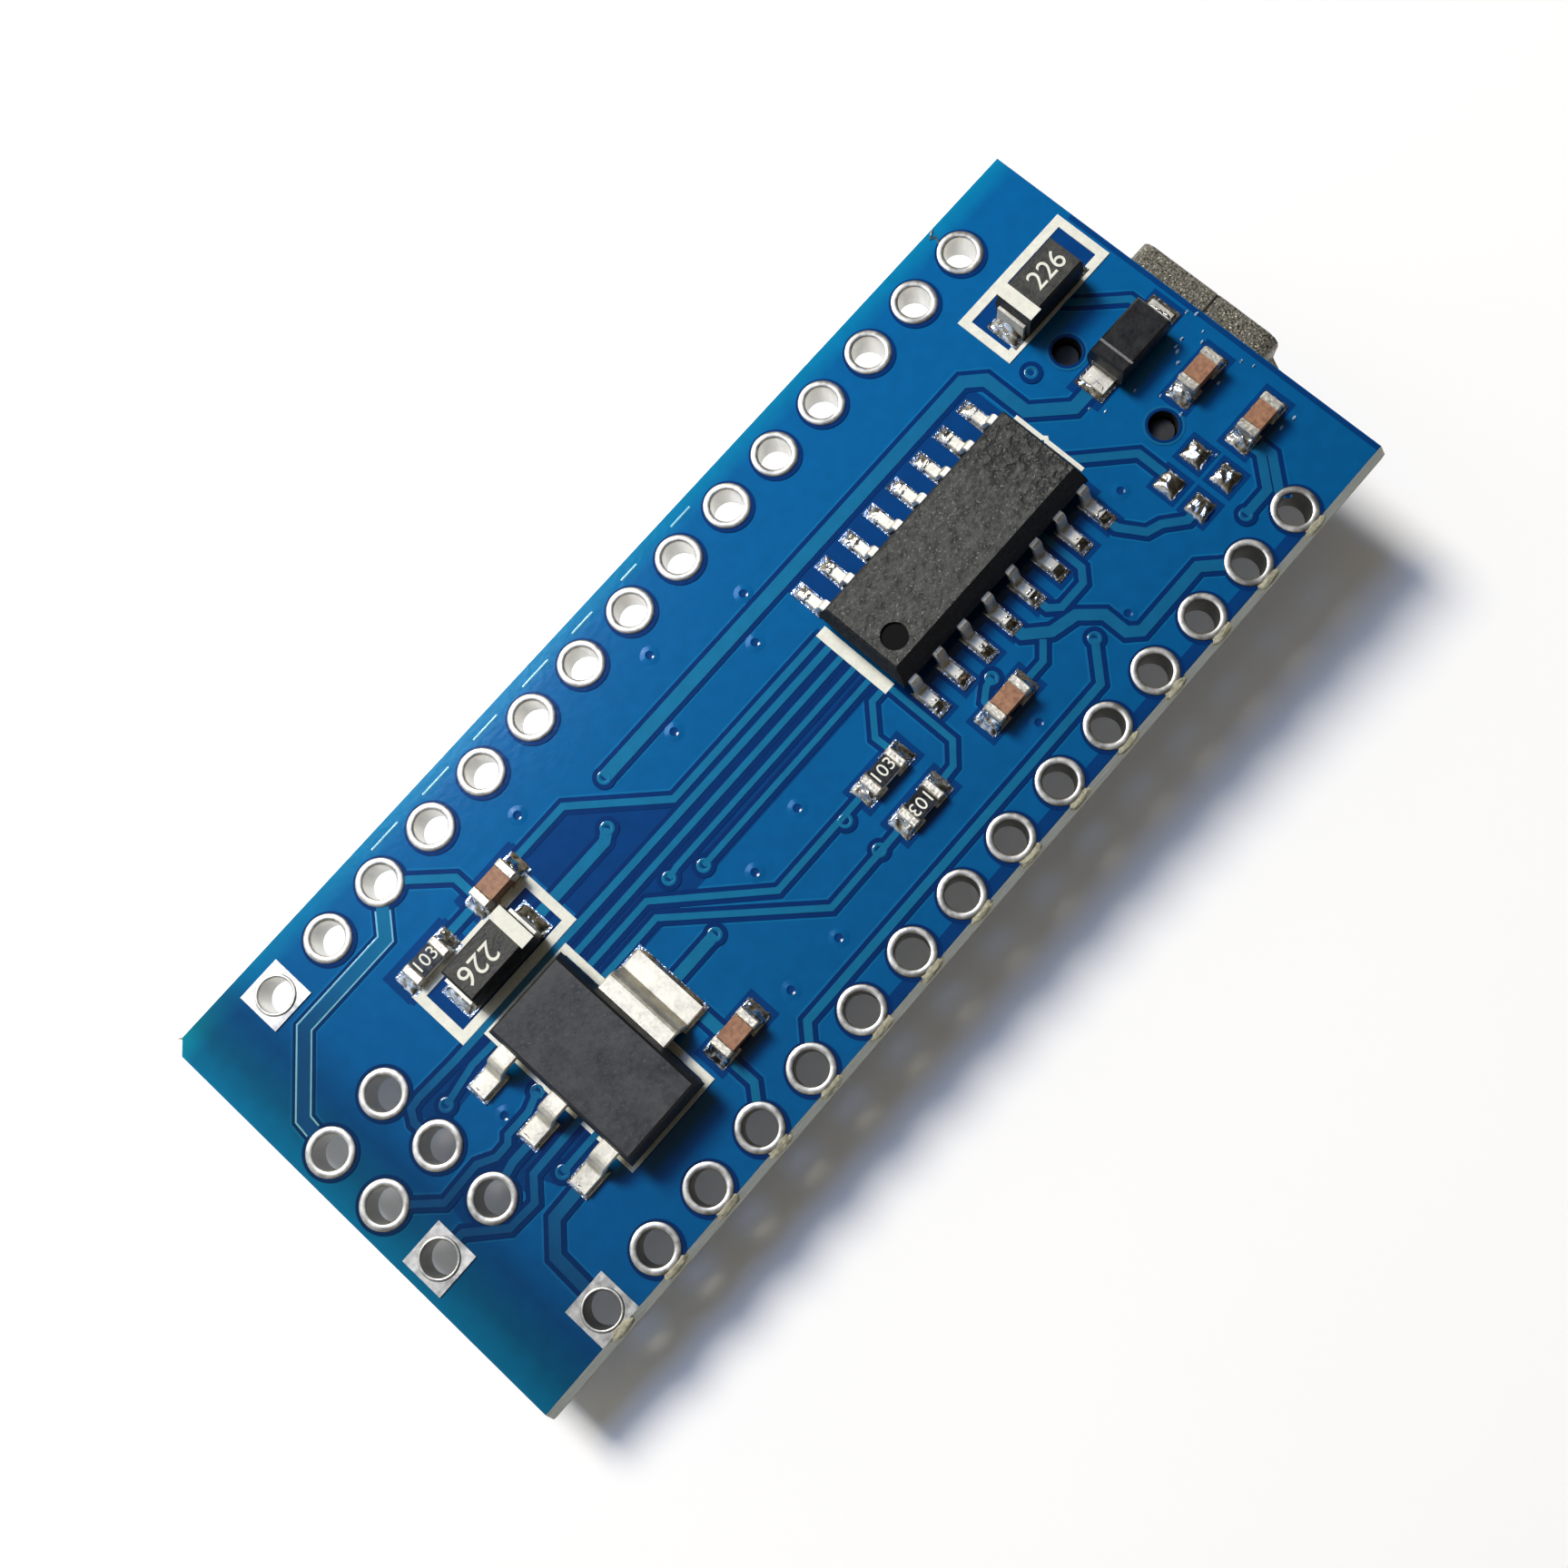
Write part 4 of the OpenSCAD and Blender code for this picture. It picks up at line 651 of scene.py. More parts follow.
# Ground without copper, seen as deep blue
BARE_AREAS = [
    [(-9.95, -0.75), (-7.6, -0.75), (-5.4, -0.75), (3.8, -0.75), (3.8, 2.2), (-3.8, 2.2), (-6.2, 4.4),
     (-9.05, 4.4), (-9.05, 1.6), (-13.5, 1.6), (-13.5, 0.6), (-9.95, 0.6)],
    [(-17.4, 1.3), (-13.5, 1.3), (-13.5, 0.3), (-15.7, 0.36), (-16.6, 0.3), (-16.75, 0.1), (-17.3, 0.9)],
    [(-16.85, -1.7), (-16.6, -1.85), (-14.9, -1.6), (-13.5, -1.3), (-13.5, -3.95), (-15.9, -3.95), (-16.2, -3.2),
     (-16.8, -3.6)],
    [(-18.75, -1.6), (-17.2, -1.5), (-17.0, -1.65), (-17.65, -1.72), (-18.2, -1.95), (-18.45, -2.4),
     (-18.45, -2.9), (-18.9, -2.5)],
    rectangle(4.1, 14.05, 2.3, 4.02),
    rectangle(4.1, 14.0, -2.1, -1.5),
    rectangle(-15.0, -12.2, 3.95, 5.25),
    rectangle(-11.5, -8.75, 3.95, 5.25),
    rectangle(-14.42, -9.48, 1.95, 3.75),
    rectangle(15.95, 20.9, 3.78, 5.57),
    rectangle(16.2, 17.6, -0.1, 1.35),
    rectangle(19.9, 21.2, -0.1, 1.35),
]
BARE_AREAS += [rectangle(x - 0.46, x + 0.46, -3.35, -2.0) for x in SERIAL_X]
BARE_AREAS += [rectangle(x - 1.42, x + 1.42, y - 0.64, y + 0.64) for x, y in CAPACITORS + RESISTORS]
BARE_AREAS += [rectangle(x - 0.62, x + 0.62, y - 0.6, y + 0.6) for x, y in SPARE_PADS]

# Edge of the pour along the row of holes, where short bright lines are painted on it as glints
POUR_EDGES = [(-12.1, -10.8), (-9.55, -8.25), (-7.0, -5.8), (-4.5, -3.2), (-1.95, -0.9), (0.6, 1.4), (3.2, 4.2)]

# Beads of set rosin beside the diode and the chips next to it
ROSIN = [
    (20.28, -0.62), (19.91, -0.64), (19.79, -0.8), (19.47, -1.09), (19.16, -1.42), (21.35, -0.41), (20.98, -1.01),
    (20.64, -1.24), (21.19, -0.1), (19.78, -2.66), (20.95, -2.75), (21.1, -3.2), (20.44, -5.5), (19.88, -5.4),
    (17.7, -0.6), (16.4, -0.3), (16.1, 0.2), (18.1, -1.4), (18.0, -2.4), (17.6, -4.3),
]

# Traces on the face that lies down: this half of them, and its mirror image
UNDER_TRACES = [
    [(1.8, 5.16), (0.65, 6.31), (0, 7.62)],
    [(1.23, 4.6), (-0.55, 6.38), (-1.3, 6.38), (-2.54, 7.62)],
    [(0.67, 4.03), (-1.4, 6.1), (-3.56, 6.1), (-5.08, 7.62)],
    [(0.1, 3.46), (-2.26, 5.82), (-5.82, 5.82), (-7.62, 7.62)],
    [(-0.46, 2.9), (-3.1, 5.54), (-8.08, 5.54), (-10.16, 7.62)],
    [(-1.03, 2.33), (-2, 3.3), (-2.6, 3.3)],
    [(-2.16, 1.2), (-2.6, 1.64), (-6.6, 1.64)],
    [(4.2, 5.16), (5.08, 6.04), (5.08, 7.62)],
    [(4.77, 4.6), (6.3, 6.13), (7.62, 7.62)],
    [(5.33, 4.03), (7.1, 5.8), (8.34, 5.8), (10.16, 7.62)],
    [(5.9, 3.46), (7.97, 5.53), (10.61, 5.53), (12.7, 7.62)],
    [(7.6, 1.77), (9.1, 3.27), (9.5, 3.27)],
    [(8.16, 1.2), (8.56, 0.8), (12.6, 0.8)],
    [(-12.7, 3.75), (-13.2, 3.75), (-13.7, 1.2), (-14, 1.2)],
    [(-12.7, 1.25), (-13.2, 1.25), (-13.7, 0.4), (-14, 0.4)],
]


def is_square(hole):
    """Whether a plated hole has a square land."""
    return any((Vector(hole) - Vector(land)).length < 0.1 for land in SQUARE_LANDS)


def gap_level(i):
    """Height of the i-th bare strip: each lies a hair above the last, so no two share a plane."""
    return 0.0003 * i


def cut_at_score(bm):
    """Takes off what lies past the scored line, and closes the cut."""
    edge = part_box("header_plated_holes")[0].y
    whole = bm.verts[:] + bm.edges[:] + bm.faces[:]
    made = bmesh.ops.bisect_plane(bm, geom=whole, plane_co=(0, edge, 0), plane_no=(0, -1, 0), clear_outer=True)
    bmesh.ops.holes_fill(bm, edges=[g for g in made["geom_cut"] if isinstance(g, bmesh.types.BMEdge)])


def controller_row(turn, out):
    """Places along one side of the controller, at a distance from its middle."""
    side = Matrix.Rotation(math.radians(turn), 2)
    return [Vector((3, 0)) + side @ Vector((out, (i - 3.5) * 0.8)) for i in range(8)]


def from_land(path, back=0.72):
    """A path whose ends stop short of the bore where they meet a plated hole."""
    ends = [Vector(p) for p in path]
    for end, inner in ((0, 1), (-1, -2)):
        if any((ends[end] - Vector(hole)).length < 0.12 for hole in HEADER_HOLES + ISP_HOLES):
            ends[end] += (ends[inner] - ends[end]).normalized() * back
    return ends


def both_ends(places, reach, *sizes):
    """Solder joints at the two ends of parts that lie along X."""
    return [(x + side * reach, y, 90 - side * 90, *sizes) for x, y in places for side in (-1, 1)]


def solder_joints(joints, seed):
    """Set solder at joints: place, turn, length, width, height at the terminal and on the land."""
    bm = bmesh.new()
    for i, joint in enumerate(joints):
        set_solder(bm, *joint, seed + i)
    return bm


def write_number(bm, text, x, y, height, size, turn):
    """A plain printed number, turned by some degrees."""
    curve = bpy.data.curves.new("number", "FONT")
    # The font's size is 1.35 times that of its figures
    curve.body, curve.size, curve.extrude = text, size * MM * 1.35, 0.008 * MM
    curve.align_x, curve.align_y = "CENTER", "CENTER"
    written = bpy.data.objects.new("number", curve)
    mesh = written.to_mesh()
    place = Matrix.Translation(Vector((x, y, height)) * MM)
    mesh.transform(place @ Matrix.Rotation(math.radians(turn), 4, "Z"))
    bm.from_mesh(mesh)
    written.to_mesh_clear()
    bpy.data.objects.remove(written)
    bpy.data.curves.remove(curve)


def lay_card(scene):
    """Lays the white card that the board leans on with the socket's back edge and the push button's rim."""
    shell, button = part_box("usb_shell")[0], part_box("switch_plunger")[0]
    slope = (button.z - shell.z) / (shell.x - button.x)
    lean = Matrix.Rotation(math.atan(slope), 4, "Y")
    foot = Vector((shell.x, 0, shell.z - 0.02 * MM))
    bm = bmesh.new()
    bmesh.ops.create_grid(bm, x_segments=4, y_segments=4, size=2, matrix=Matrix.Translation(foot) @ lean)
    mesh = bpy.data.meshes.new("floor")
    bm.to_mesh(mesh)
    bm.free()
    floor = bpy.data.objects.new("floor", mesh)
    scene.collection.objects.link(floor)
    # Matt, with a faint mottle 30 mm across, kept white where it is seen direct or mirrored
    material, add, place = start_material("matt_white_card")
    cloud = add("TexNoise", {"Vector": place, "Scale": grain_scale(30)})
    white = add("Mix", {0: cloud, 6: "#f8f8f9", 7: "#fbfbfb"}, data_type="RGBA")
    path = add("LightPath")
    seen = path.outputs["Is Camera Ray"]
    for kind in ("Is Glossy Ray", "Is Transmission Ray"):
        seen = add("Math", [seen, path.outputs[kind]], operation="MAXIMUM")
    # Far from the board, past the reach of the lamps, the card stays white
    away = add("VectorMath", [place], operation="LENGTH")
    away = add("MapRange", [away, 0.06, 0.5, 0.05, 1.0])
    glow = add("Math", [seen, away], operation="MULTIPLY")
    sockets = {"Base Color": white, "Roughness": 0.9, "Emission Color": "#ffffff", "Emission Strength": glow}
    add("OutputMaterial", [add("BsdfPrincipled", sockets)])
    mesh.materials.append(material)


def hang_windows(scene, power):
    """Hangs the window on one side: warm below, where it sees the street, and blue above, where it sees the sky."""
    for name, rise, size, share, tint in (
        ("window_street", 1.11, 0.2, 0.8, (1.1, 1.0, 0.76)), ("window_sky", 1.5, 0.3, 0.2, (0.6, 1.0, 2.0)),
    ):
        lamp = bpy.data.lights.new(name, "AREA")
        lamp.shape, lamp.size, lamp.energy, lamp.color = "DISK", size, power * share, tint
        window = bpy.data.objects.new(name, lamp)
        window.location = Vector((0, 1, rise)).normalized() * 0.6
        window.rotation_euler = Vector(window.location).to_track_quat("Z", "Y").to_euler()
        scene.collection.objects.link(window)


def light_room(scene, strength):
    """Lights the room: bright low walls, a dim ceiling, white where the camera sees it."""
    world = scene.world = bpy.data.worlds.new("room")
    world.use_nodes = True
    world.node_tree.nodes.clear()
    add = partial(add_node, world.node_tree)
    way = add("SeparateXYZ", [add("TexCoord").outputs["Generated"]])
    # Brighter past the far end of the board, dark past the socket
    level = strength
    for axis, *ends in (("Z", 0.1, 0.8, 0.75, 0.2), ("Y", -0.6, 0.7, 0.12, 1.7), ("X", -0.6, 0.5, 1.7, 0.4)):
        side = add("MapRange", [way.outputs[axis], *ends])
        level = add("Math", [side, level], operation="MULTIPLY")
    # Warm, but blue low down past the far end
    blue = add("MapRange", [way.outputs["X"], -0.15, -0.6])
    low = add("MapRange", [way.outputs["Z"], 0.6, 0.3])
    blue = add("Math", [blue, low], operation="MULTIPLY")
    tint = add("Mix", {0: blue, 6: (1.14, 0.97, 0.66, 1), 7: (0.75, 0.95, 1.25, 1)}, data_type="RGBA")
    seen = add("LightPath").outputs["Is Camera Ray"]
    level = add("Mix", {0: seen, 2: level, 3: 1.0})
    tint = add("Mix", {0: seen, 6: tint, 7: "#ffffff"}, data_type="RGBA")
    add("OutputWorld", [add("Background", [tint, level])])


# Operators


class BOARD_OT_finishes(bpy.types.Operator):
    """Give every solid of the board its finish"""

    bl_idname = "board.finishes"
    bl_label = "Finishes"

    def execute(self, context):
        finishes.update(make_finishes(context.scene.board_colours))
        finish_of = {node: finishes[kind] for kind, nodes in FINISH_OF_NODE.items() for node in nodes}
        for node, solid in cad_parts.items():
            if node not in finish_of:
                raise RuntimeError("no finish for " + node)
            for place in solid.material_slots:
                place.material = finish_of[node]
        return {"FINISHED"}


class BOARD_OT_bare_ground(bpy.types.Operator):
    """Lay the bare strips beside the traces and round the lands"""

    bl_idname = "board.bare_ground"
    bl_label = "Bare ground"

    def execute(self, context):
        sizes = context.scene.board_sizes
        gap, rise = sizes.gap / MM, sizes.gap_rise / MM
        # The pour stops short of the end of the board, and of the scored edge between the holes
        end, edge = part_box("board")[1].x / MM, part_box("header_plated_holes")[0].y / MM
        borders = [rectangle(end - 0.22, end - 0.03, edge, 5.5)]
        borders += [rectangle(x + 0.7, x + 1.84, edge + 0.02, -7.98) for x in HEADER_X[5:14]]
        bm = bmesh.new()
        for i, corners in enumerate(BARE_AREAS + borders):
            flat_area(bm, corners, rise + gap_level(i))
        add_piece("bare_ground", bm, FACE, "bare")
        rims, strips = bmesh.new(), bmesh.new()
        for i, (width, path) in enumerate(TRACES):
            run = from_land(path, 0.8)
            # A band 0.07 mm wider on each side of the clearance, painted paler as the glint on the edges of the pour
            ribbon(rims, run, width + 2 * gap + 0.14, rise / 2 + gap_level(i) / 8)
            ribbon(strips, run, width + 2 * gap, rise + 0.012 + gap_level(i))
        # Clearances round the lands, the peg holes and the vias lie above the strips
        above = rise + 0.024
        # The clearance round each header ring is set 0.05 mm towards -Y; its wider dark crescent on that side is a
        # painted shadow of the ring
        rings = [(x, y - 0.05, 0.75, 0.97) for x, y in HEADER_HOLES if not is_square((x, y))]
        rings += [(x, y, 0.8, 0.98) for x, y in ISP_HOLES if not is_square((x, y))]
        rings += [(x, y, 0.56, 0.66) for x, y in PEG_HOLES]
        for ring in rings:
            flat_ring(strips, *ring, above)
        for i, (x, y) in enumerate(TRACE_VIAS):
            flat_ring(strips, x, y, 0.2, 0.43, above + 0.0005 + gap_level(i), segments=20)
        for name, bm, kind in (("pour_edge_painted_glints", rims, "rim"), ("clearance_strips", strips, "gap")):
            cut_at_score(bm)
            add_piece(name, bm, FACE, kind)
        return {"FINISHED"}


class BOARD_OT_traces(bpy.types.Operator):
    """Lay the masked copper traces"""

    bl_idname = "board.traces"
    bl_label = "Traces"

    def execute(self, context):
        rise = context.scene.board_sizes.trace_rise / MM
        bm = bmesh.new()
        for i, (width, path) in enumerate(TRACES):
            ribbon(bm, from_land(path), width, rise + gap_level(i), shoulder=0.25)
        # A paler lip of mask round the peg holes
        for x, y in PEG_HOLES:
            flat_ring(bm, x, y, 0.66, 0.75, 0.02)
        add_piece("copper_traces", bm, FACE, "trace")
        # The round shoulders of the first trace, and the edges of the pour by the holes, are painted pale as the
        # glints they catch
        bm = bmesh.new()
        width, path = TRACES[0]
        ribbon(bm, from_land(path), width + 0.13, rise * 0.7, shoulder=1.2)
        for x0, x1 in POUR_EDGES:
            ribbon(bm, [(x0, 8.62), (x1, 8.62)], 0.09, 0.02, shoulder=1.6)
        add_piece("trace_and_pour_edge_painted_glints", bm, FACE, "shoulder")
        return {"FINISHED"}


class BOARD_OT_vias(bpy.types.Operator):
    """Set the masked vias"""

    bl_idname = "board.vias"
    bl_label = "Vias"

    def execute(self, context):
        sizes = context.scene.board_sizes
        radius, rise = sizes.via_width / MM / 2, sizes.trace_rise / MM + 0.01
        ring = [
            (0, 0.006), (radius * 0.4, 0.008), (radius * 0.62, rise), (radius * 0.8, rise), (radius, rise * 0.6),
            (radius, -SUNK), (0, -SUNK),
        ]
        # A via in the pour is a shallow dimple whose rim fades into the face
        dimple = [
            (0, 0.002), (0.09, 0.003), (0.16, 0.022), (0.19, 0.022), (0.36, 0.002), (0.36, -SUNK), (0, -SUNK),
        ]
        bm = bmesh.new()
        for profile, places in ((ring, TRACE_VIAS), (dimple, POUR_VIAS)):
            for x, y in places:
                turned(bm, x, y, profile)
        for face in bm.faces:
            middle = face.calc_center_median() / MM
            on_trace, in_pour = [
                min(math.hypot(middle.x - x, middle.y - y) for x, y in places) for places in (TRACE_VIAS, POUR_VIAS)
            ]
            if middle.z > 0 and (on_trace < radius * 0.5 or in_pour < 0.17):
                face.material_index = 1
            elif in_pour < on_trace:
                face.material_index = 2
        add_piece("vias", bm, FACE, "trace", "bare", "pour")
        return {"FINISHED"}


class BOARD_OT_underside(bpy.types.Operator):
    """Lay the traces, the vias and the outlines on the face that lies down"""

    bl_idname = "board.underside"
    bl_label = "Underside"

    def execute(self, context):
        sizes = context.scene.board_sizes
        rise, gap = sizes.trace_rise / MM, sizes.gap / MM
        paths = [from_land([(x, side * y) for x, y in path]) for path in UNDER_TRACES for side in (1, -1)]
        strips, traces, vias, lines = [bmesh.new() for _ in range(4)]
        for i, path in enumerate(paths):
            ribbon(strips, path, 0.28 + 2 * gap, 0.014 + gap_level(i))
            ribbon(traces, path, 0.28, rise + gap_level(i), shoulder=0.25)
        for x, y in HEADER_HOLES:
            if not is_square((x, y)):
                flat_ring(strips, x, y, 0.8, 0.97, 0.026)
        cut_at_score(strips)
        dimple = [(0, 0.003), (0.1, 0.004), (0.17, rise), (0.22, rise), (0.3, 0.002), (0.3, -SUNK), (0, -SUNK)]
        for x, y in POUR_VIAS + TRACE_VIAS:
            turned(vias, x, y, dimple)
        ink = rise + sizes.print_rise / MM
        for x in (-3.6, 10.6):
            flat_frame(lines, x - 1.95, x + 1.95, 2.6, 5.8, 0.15, ink)
        for node, spare in (("switch_housing", 0.35), ("led_bases", 0.75)):
            lo, hi = [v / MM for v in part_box(node)]
            flat_frame(lines, lo.x - spare, hi.x + spare, lo.y - spare / 2, hi.y + spare / 2, 0.15, ink)
        for name, bm, kind in (
            ("under_clearance_strips", strips, "gap"), ("under_copper_traces", traces, "trace"),
            ("under_vias", vias, "pour"), ("under_printed_outlines", lines, "ink"),
        ):
            to_underside(bm)
            add_piece(name, bm, FACE, kind)
        return {"FINISHED"}


class BOARD_OT_printing(bpy.types.Operator):
    """Print the outlines of the parts"""

    bl_idname = "board.printing"
    bl_label = "Printing"

    def execute(self, context):
        rise = context.scene.board_sizes.print_rise / MM + 0.02
        bm = bmesh.new()
        # Round the two tantalum capacitors and the regulator, and at both ends of the serial chip
        flat_frame(bm, 15.62, 21.22, 3.45, 5.9, 0.37, rise)
        flat_frame(bm, -14.75, -9.15, 1.62, 4.08, 0.37, rise)
        flat_frame(bm, -14.0, -9.98, -5.45, 1.38, 0.3, rise)
        ribbon(bm, [(3.78, -1.15), (3.78, 2.05)], 0.48, rise)
        ribbon(bm, [(14.2, -1.1), (14.2, 0.55), (14.28, 0.65), (14.2, 0.75), (14.2, 2.0)], 0.18, rise)
        add_piece("printed_outlines", bm, FACE, "ink")
        return {"FINISHED"}


class BOARD_OT_rings(bpy.types.Operator):
    """Round the levelled solder on the rings of the plated holes"""

    bl_idname = "board.rings"
    bl_label = "Solder rings"

    def execute(self, context):
        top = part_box("header_plated_holes")[1].z / MM
        profile = [(0, 0), (0.06, 0.45), (0.2, 0.85), (0.45, 1), (0.75, 0.85), (0.92, 0.45), (1, 0), (0, 0)]
        for name in ("solder_rings", "under_solder_rings"):
            bm = bmesh.new()
            for x, y in HEADER_HOLES + ISP_HOLES:
                # Round lands are full; on a square land only the rim of the bore stands up
                wide = 0.13 if is_square((x, y)) else 0.26
                turned(bm, x, y, [(HOLE_RADIUS + r * wide, top - 0.005 + 0.04 * h) for r, h in profile], 40)
            cut_at_score(bm)
            if name == "solder_rings":
                # A thread of solder drawn out from the last ring
                ribbon(bm, [(17.55, 8.4), (17.7, 8.72), (17.52, 8.82), (17.85, 9.0)], 0.06, 0.05, shoulder=0.6)
            else:
                to_underside(bm)
            add_piece(name, bm, "tinned_copper", "solder", smooth=True)
        return {"FINISHED"}


class BOARD_OT_solder(bpy.types.Operator):
    """Set the solder at the ends of the leads and chips, and on the spare lands"""

    bl_idname = "board.solder"
    bl_label = "Solder"

    def execute(self, context):
        leads, feet, tab = [
            [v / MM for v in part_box(node)] for node in ("serial_chip_leads", "regulator_leads", "regulator_tab")
        ]
        joints = []
        for x in SERIAL_X:
            for y, side in ((leads[0].y, -1), (leads[1].y, 1)):
                joints.append((x, y - side * 0.16, side * 90, 0.5, 0.56, 0.27, 0.09))
        joints += [(feet[0].x + 0.12, y, 180, 0.26, 0.84, 0.3, 0.08) for y in REGULATOR_Y]
        joints.append((tab[1].x - 0.03, REGULATOR_Y[1], 0, 0.18, 3.14, 0.22, 0.06))
        joints += both_ends(CAPACITORS, 0.77, 0.46, 0.94, 0.5, 0.1)
        joints += both_ends(RESISTORS, 0.77, 0.46, 0.94, 0.34, 0.1)
        joints += both_ends(TANTALUMS, 1.57, 0.46, 1.34, 0.42, 0.1)
        joints += both_ends([DIODE], 1.75, 0.46, 1.18, 0.25, 0.08)
        add_piece("solder_fillets", solder_joints(joints, 1.0), "tinned_copper", "reflowed", smooth=True)
        bm = bmesh.new()
        for i, (x, y) in enumerate(SPARE_PADS):
            set_solder(bm, x, y, 0, 0.92, 0.92, 0.2, 0.2, 50.0 + i, dome=True)
        pads = add_piece("spare_pad_solder", bm, "tinned_copper", "reflowed", smooth=True)
        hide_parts("spare_solder_pads")
        # On the other face: capacitors, lamps, arrays, switch, contact tails, shell feet and controller
        joints = [(12.85, (i - 2) * 0.8, 180, 0.35, 0.45, 0.15, 0.05) for i in range(5)]
        for turn in CONTROLLER_TURNS:
            joints += [(x, y, turn, 0.3, 0.42, 0.14, 0.05) for x, y in controller_row(turn, 4.38)]
        for side in (-1, 1):
            turn = 90 - side * 90
            for x, y in ((-0.7, 5.4), (-0.7, -5.4), (10.8, -3.1), (10.8, -4.9)):
                joints.append((x + side * 0.77, y, turn, 0.46, 0.94, 0.5, 0.1))
            for i in range(4):
                joints.append((-11.88 + side * 0.77, (i - 1.5) * 2.5, turn, 0.3, 0.7, 0.2, 0.06))
                joints.append((-14.92 + side * 0.77, (i - 1.5) * 0.8, turn, 0.3, 0.45, 0.25, 0.06))
                joints.append((-4.2 + (i - 1.5) * 0.8, -4.3 + side * 0.77, side * 90, 0.3, 0.45, 0.25, 0.06))
            joints.append((-8.2, side * 3.75, side * 90, 0.35, 1.1, 0.2, 0.06))
            joints += [(x, side * 4.2, side * 90, 0.4, 1.8, 0.3, 0.08) for x in (14.95, 19.85)]
        bm = solder_joints(joints, 200.0)
        to_underside(bm)
        add_piece("under_solder_fillets", bm, "tinned_copper", "reflowed", smooth=True)
        return {"FINISHED"}


class BOARD_OT_leads(bpy.types.Operator):
    """Bend the leads of the chips and the regulator from strip"""

    bl_idname = "board.leads"
    bl_label = "Leads"

    def execute(self, context):
        # Side views run from inside the body over the shoulder and the ankle to the tip
        serial = [(1.85, 0.9), (2.08, 0.9), (2.3, 0.15), (3.0, 0.15)]
        wing = [(1.65, 0.91), (2.33, 0.91), (2.63, 0.18), (3.5, 0.18)]
        quad = [(3.3, 0.63), (3.72, 0.63), (3.95, 0.12), (4.5, 0.12)]
        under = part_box("board")[0].z / MM
        rows = {
            "serial_chip_leads": [((x, 0.3, 0), turn, serial, 0.42, 0.2) for x in SERIAL_X for turn in (90, -90)],
            "regulator_leads": [((REGULATOR_X, y, 0), 180, wing, 0.72, 0.26) for y in REGULATOR_Y],
            "regulator_tab": [((REGULATOR_X, REGULATOR_Y[1], 0), 0, wing, 3.0, 0.26)],
            "controller_leads": [
                ((x, y, under), turn, quad, 0.36, 0.14, -1)
                for turn in CONTROLLER_TURNS for x, y in controller_row(turn, 0)
            ],
        }
        for node, strips in rows.items():
            bm = bmesh.new()
            for strip in strips:
                bent_strip(bm, *strip)
            kind = "bright_tin" if node == "controller_leads" else "tin"
            piece = add_piece("bent_" + node, bm, "tin_plated_leads", kind, smooth=True)
            piece.data.set_sharp_from_angle(angle=math.radians(40))
            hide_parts(node)
        return {"FINISHED"}


class BOARD_OT_marks(bpy.types.Operator):
    """Print the bands and numbers on the small parts"""

    bl_idname = "board.marks"
    bl_label = "Marks"

    def execute(self, context):
        bm = bmesh.new()
        printed = ("tantalum_bodies", "diode_body", "chip_resistor_coats", "serial_chip_body")
        tops = {node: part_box(node)[1].z / MM for node in printed}
        z = tops["tantalum_bodies"]
        for x, y in ((17.0, 4.3), (-10.7, 2.75)):
            ribbon(bm, [(x, y - 0.79), (x, y + 0.79)], 0.55, 0.012, z=z)
        numbers = [("226", 18.55, 4.3, z, 0.78, 0), ("226", -12.3, 2.75, z, 0.78, 180)]
        for (x, y), turn in zip(RESISTORS, (0, 180, 0)):
            numbers.append(("103", x, y, tops["chip_resistor_coats"], 0.5, turn))
        for number in numbers:
            write_number(bm, *number)
        add_piece("printed_marks", bm, "moulded_epoxy", "ink")
        bm = bmesh.new()
        ribbon(bm, [(17.95, -0.1), (17.95, 1.34)], 0.1, 0.008, z=tops["diode_body"])
        add_piece("diode_line", bm, "moulded_epoxy", "laser")
        bm = bmesh.new()
        deep = tops["serial_chip_body"] - 0.1
        dish = [(0, 0.012), (0.42, 0.01), (0.49, 0.004), (0.49, -SUNK), (0, -SUNK)]
        turned(bm, 4.985, -0.35, [(r, deep + h) for r, h in dish], 32)
        add_piece("pin_one_dimple", bm, "moulded_epoxy", "dimple")
        bm = bmesh.new()
        shell = [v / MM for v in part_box("usb_shell")]
        # A dark strip along the seam of the shell, painted shade in its slot
        ribbon(bm, [(shell[0].x + 0.3, SEAM_Y), (shell[1].x - 0.02, SEAM_Y)], 0.09, 0.008, z=shell[1].z)
        add_piece("shell_seam_painted_shade", bm, "nickel_steel", "seam_shade")
        bm = bmesh.new()
        lip = shell[1].x - 0.1
        for y0, y1 in ((-2.72, SEAM_Y - 0.05), (SEAM_Y + 0.05, 2.72)):
            ribbon(bm, [(lip, y0), (lip, y1)], 0.2, 0.045, z=shell[1].z, shoulder=2)
        add_piece("shell_lips", bm, "nickel_steel", "nickel")
        return {"FINISHED"}


class BOARD_OT_edges(bpy.types.Operator):
    """Tear the laminate where the scored edge cuts into the rings, and leave beads of rosin"""

    bl_idname = "board.edges"
    bl_label = "Torn edges and rosin"

    def execute(self, context):
        bm = bmesh.new()
        lo, hi = [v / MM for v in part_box("header_plated_holes")]
        for i, x in enumerate(HEADER_X):
            place = (x + 0.05 * noise.noise((i, 0, 0)), lo.y - 0.03, -0.06)
            drop(bm, place, (0.52, 0.2, hi.z + 0.09), 90.0 + i, lumps=0.2, square=0.8)
        add_piece("torn_laminate", bm, FACE, "torn")
        bm = bmesh.new()
        for i, (x, y) in enumerate(ROSIN):
            r = 0.04 + 0.06 * abs(noise.noise((i * 2.3, 7.7, 1.1)))
            drop(bm, (x, y, 0.005), (r * 1.6, r * 0.8, r), 130.0 + i, lumps=0.5, detail=2)
        add_piece("rosin_beads", bm, FACE, "rosin")
        return {"FINISHED"}


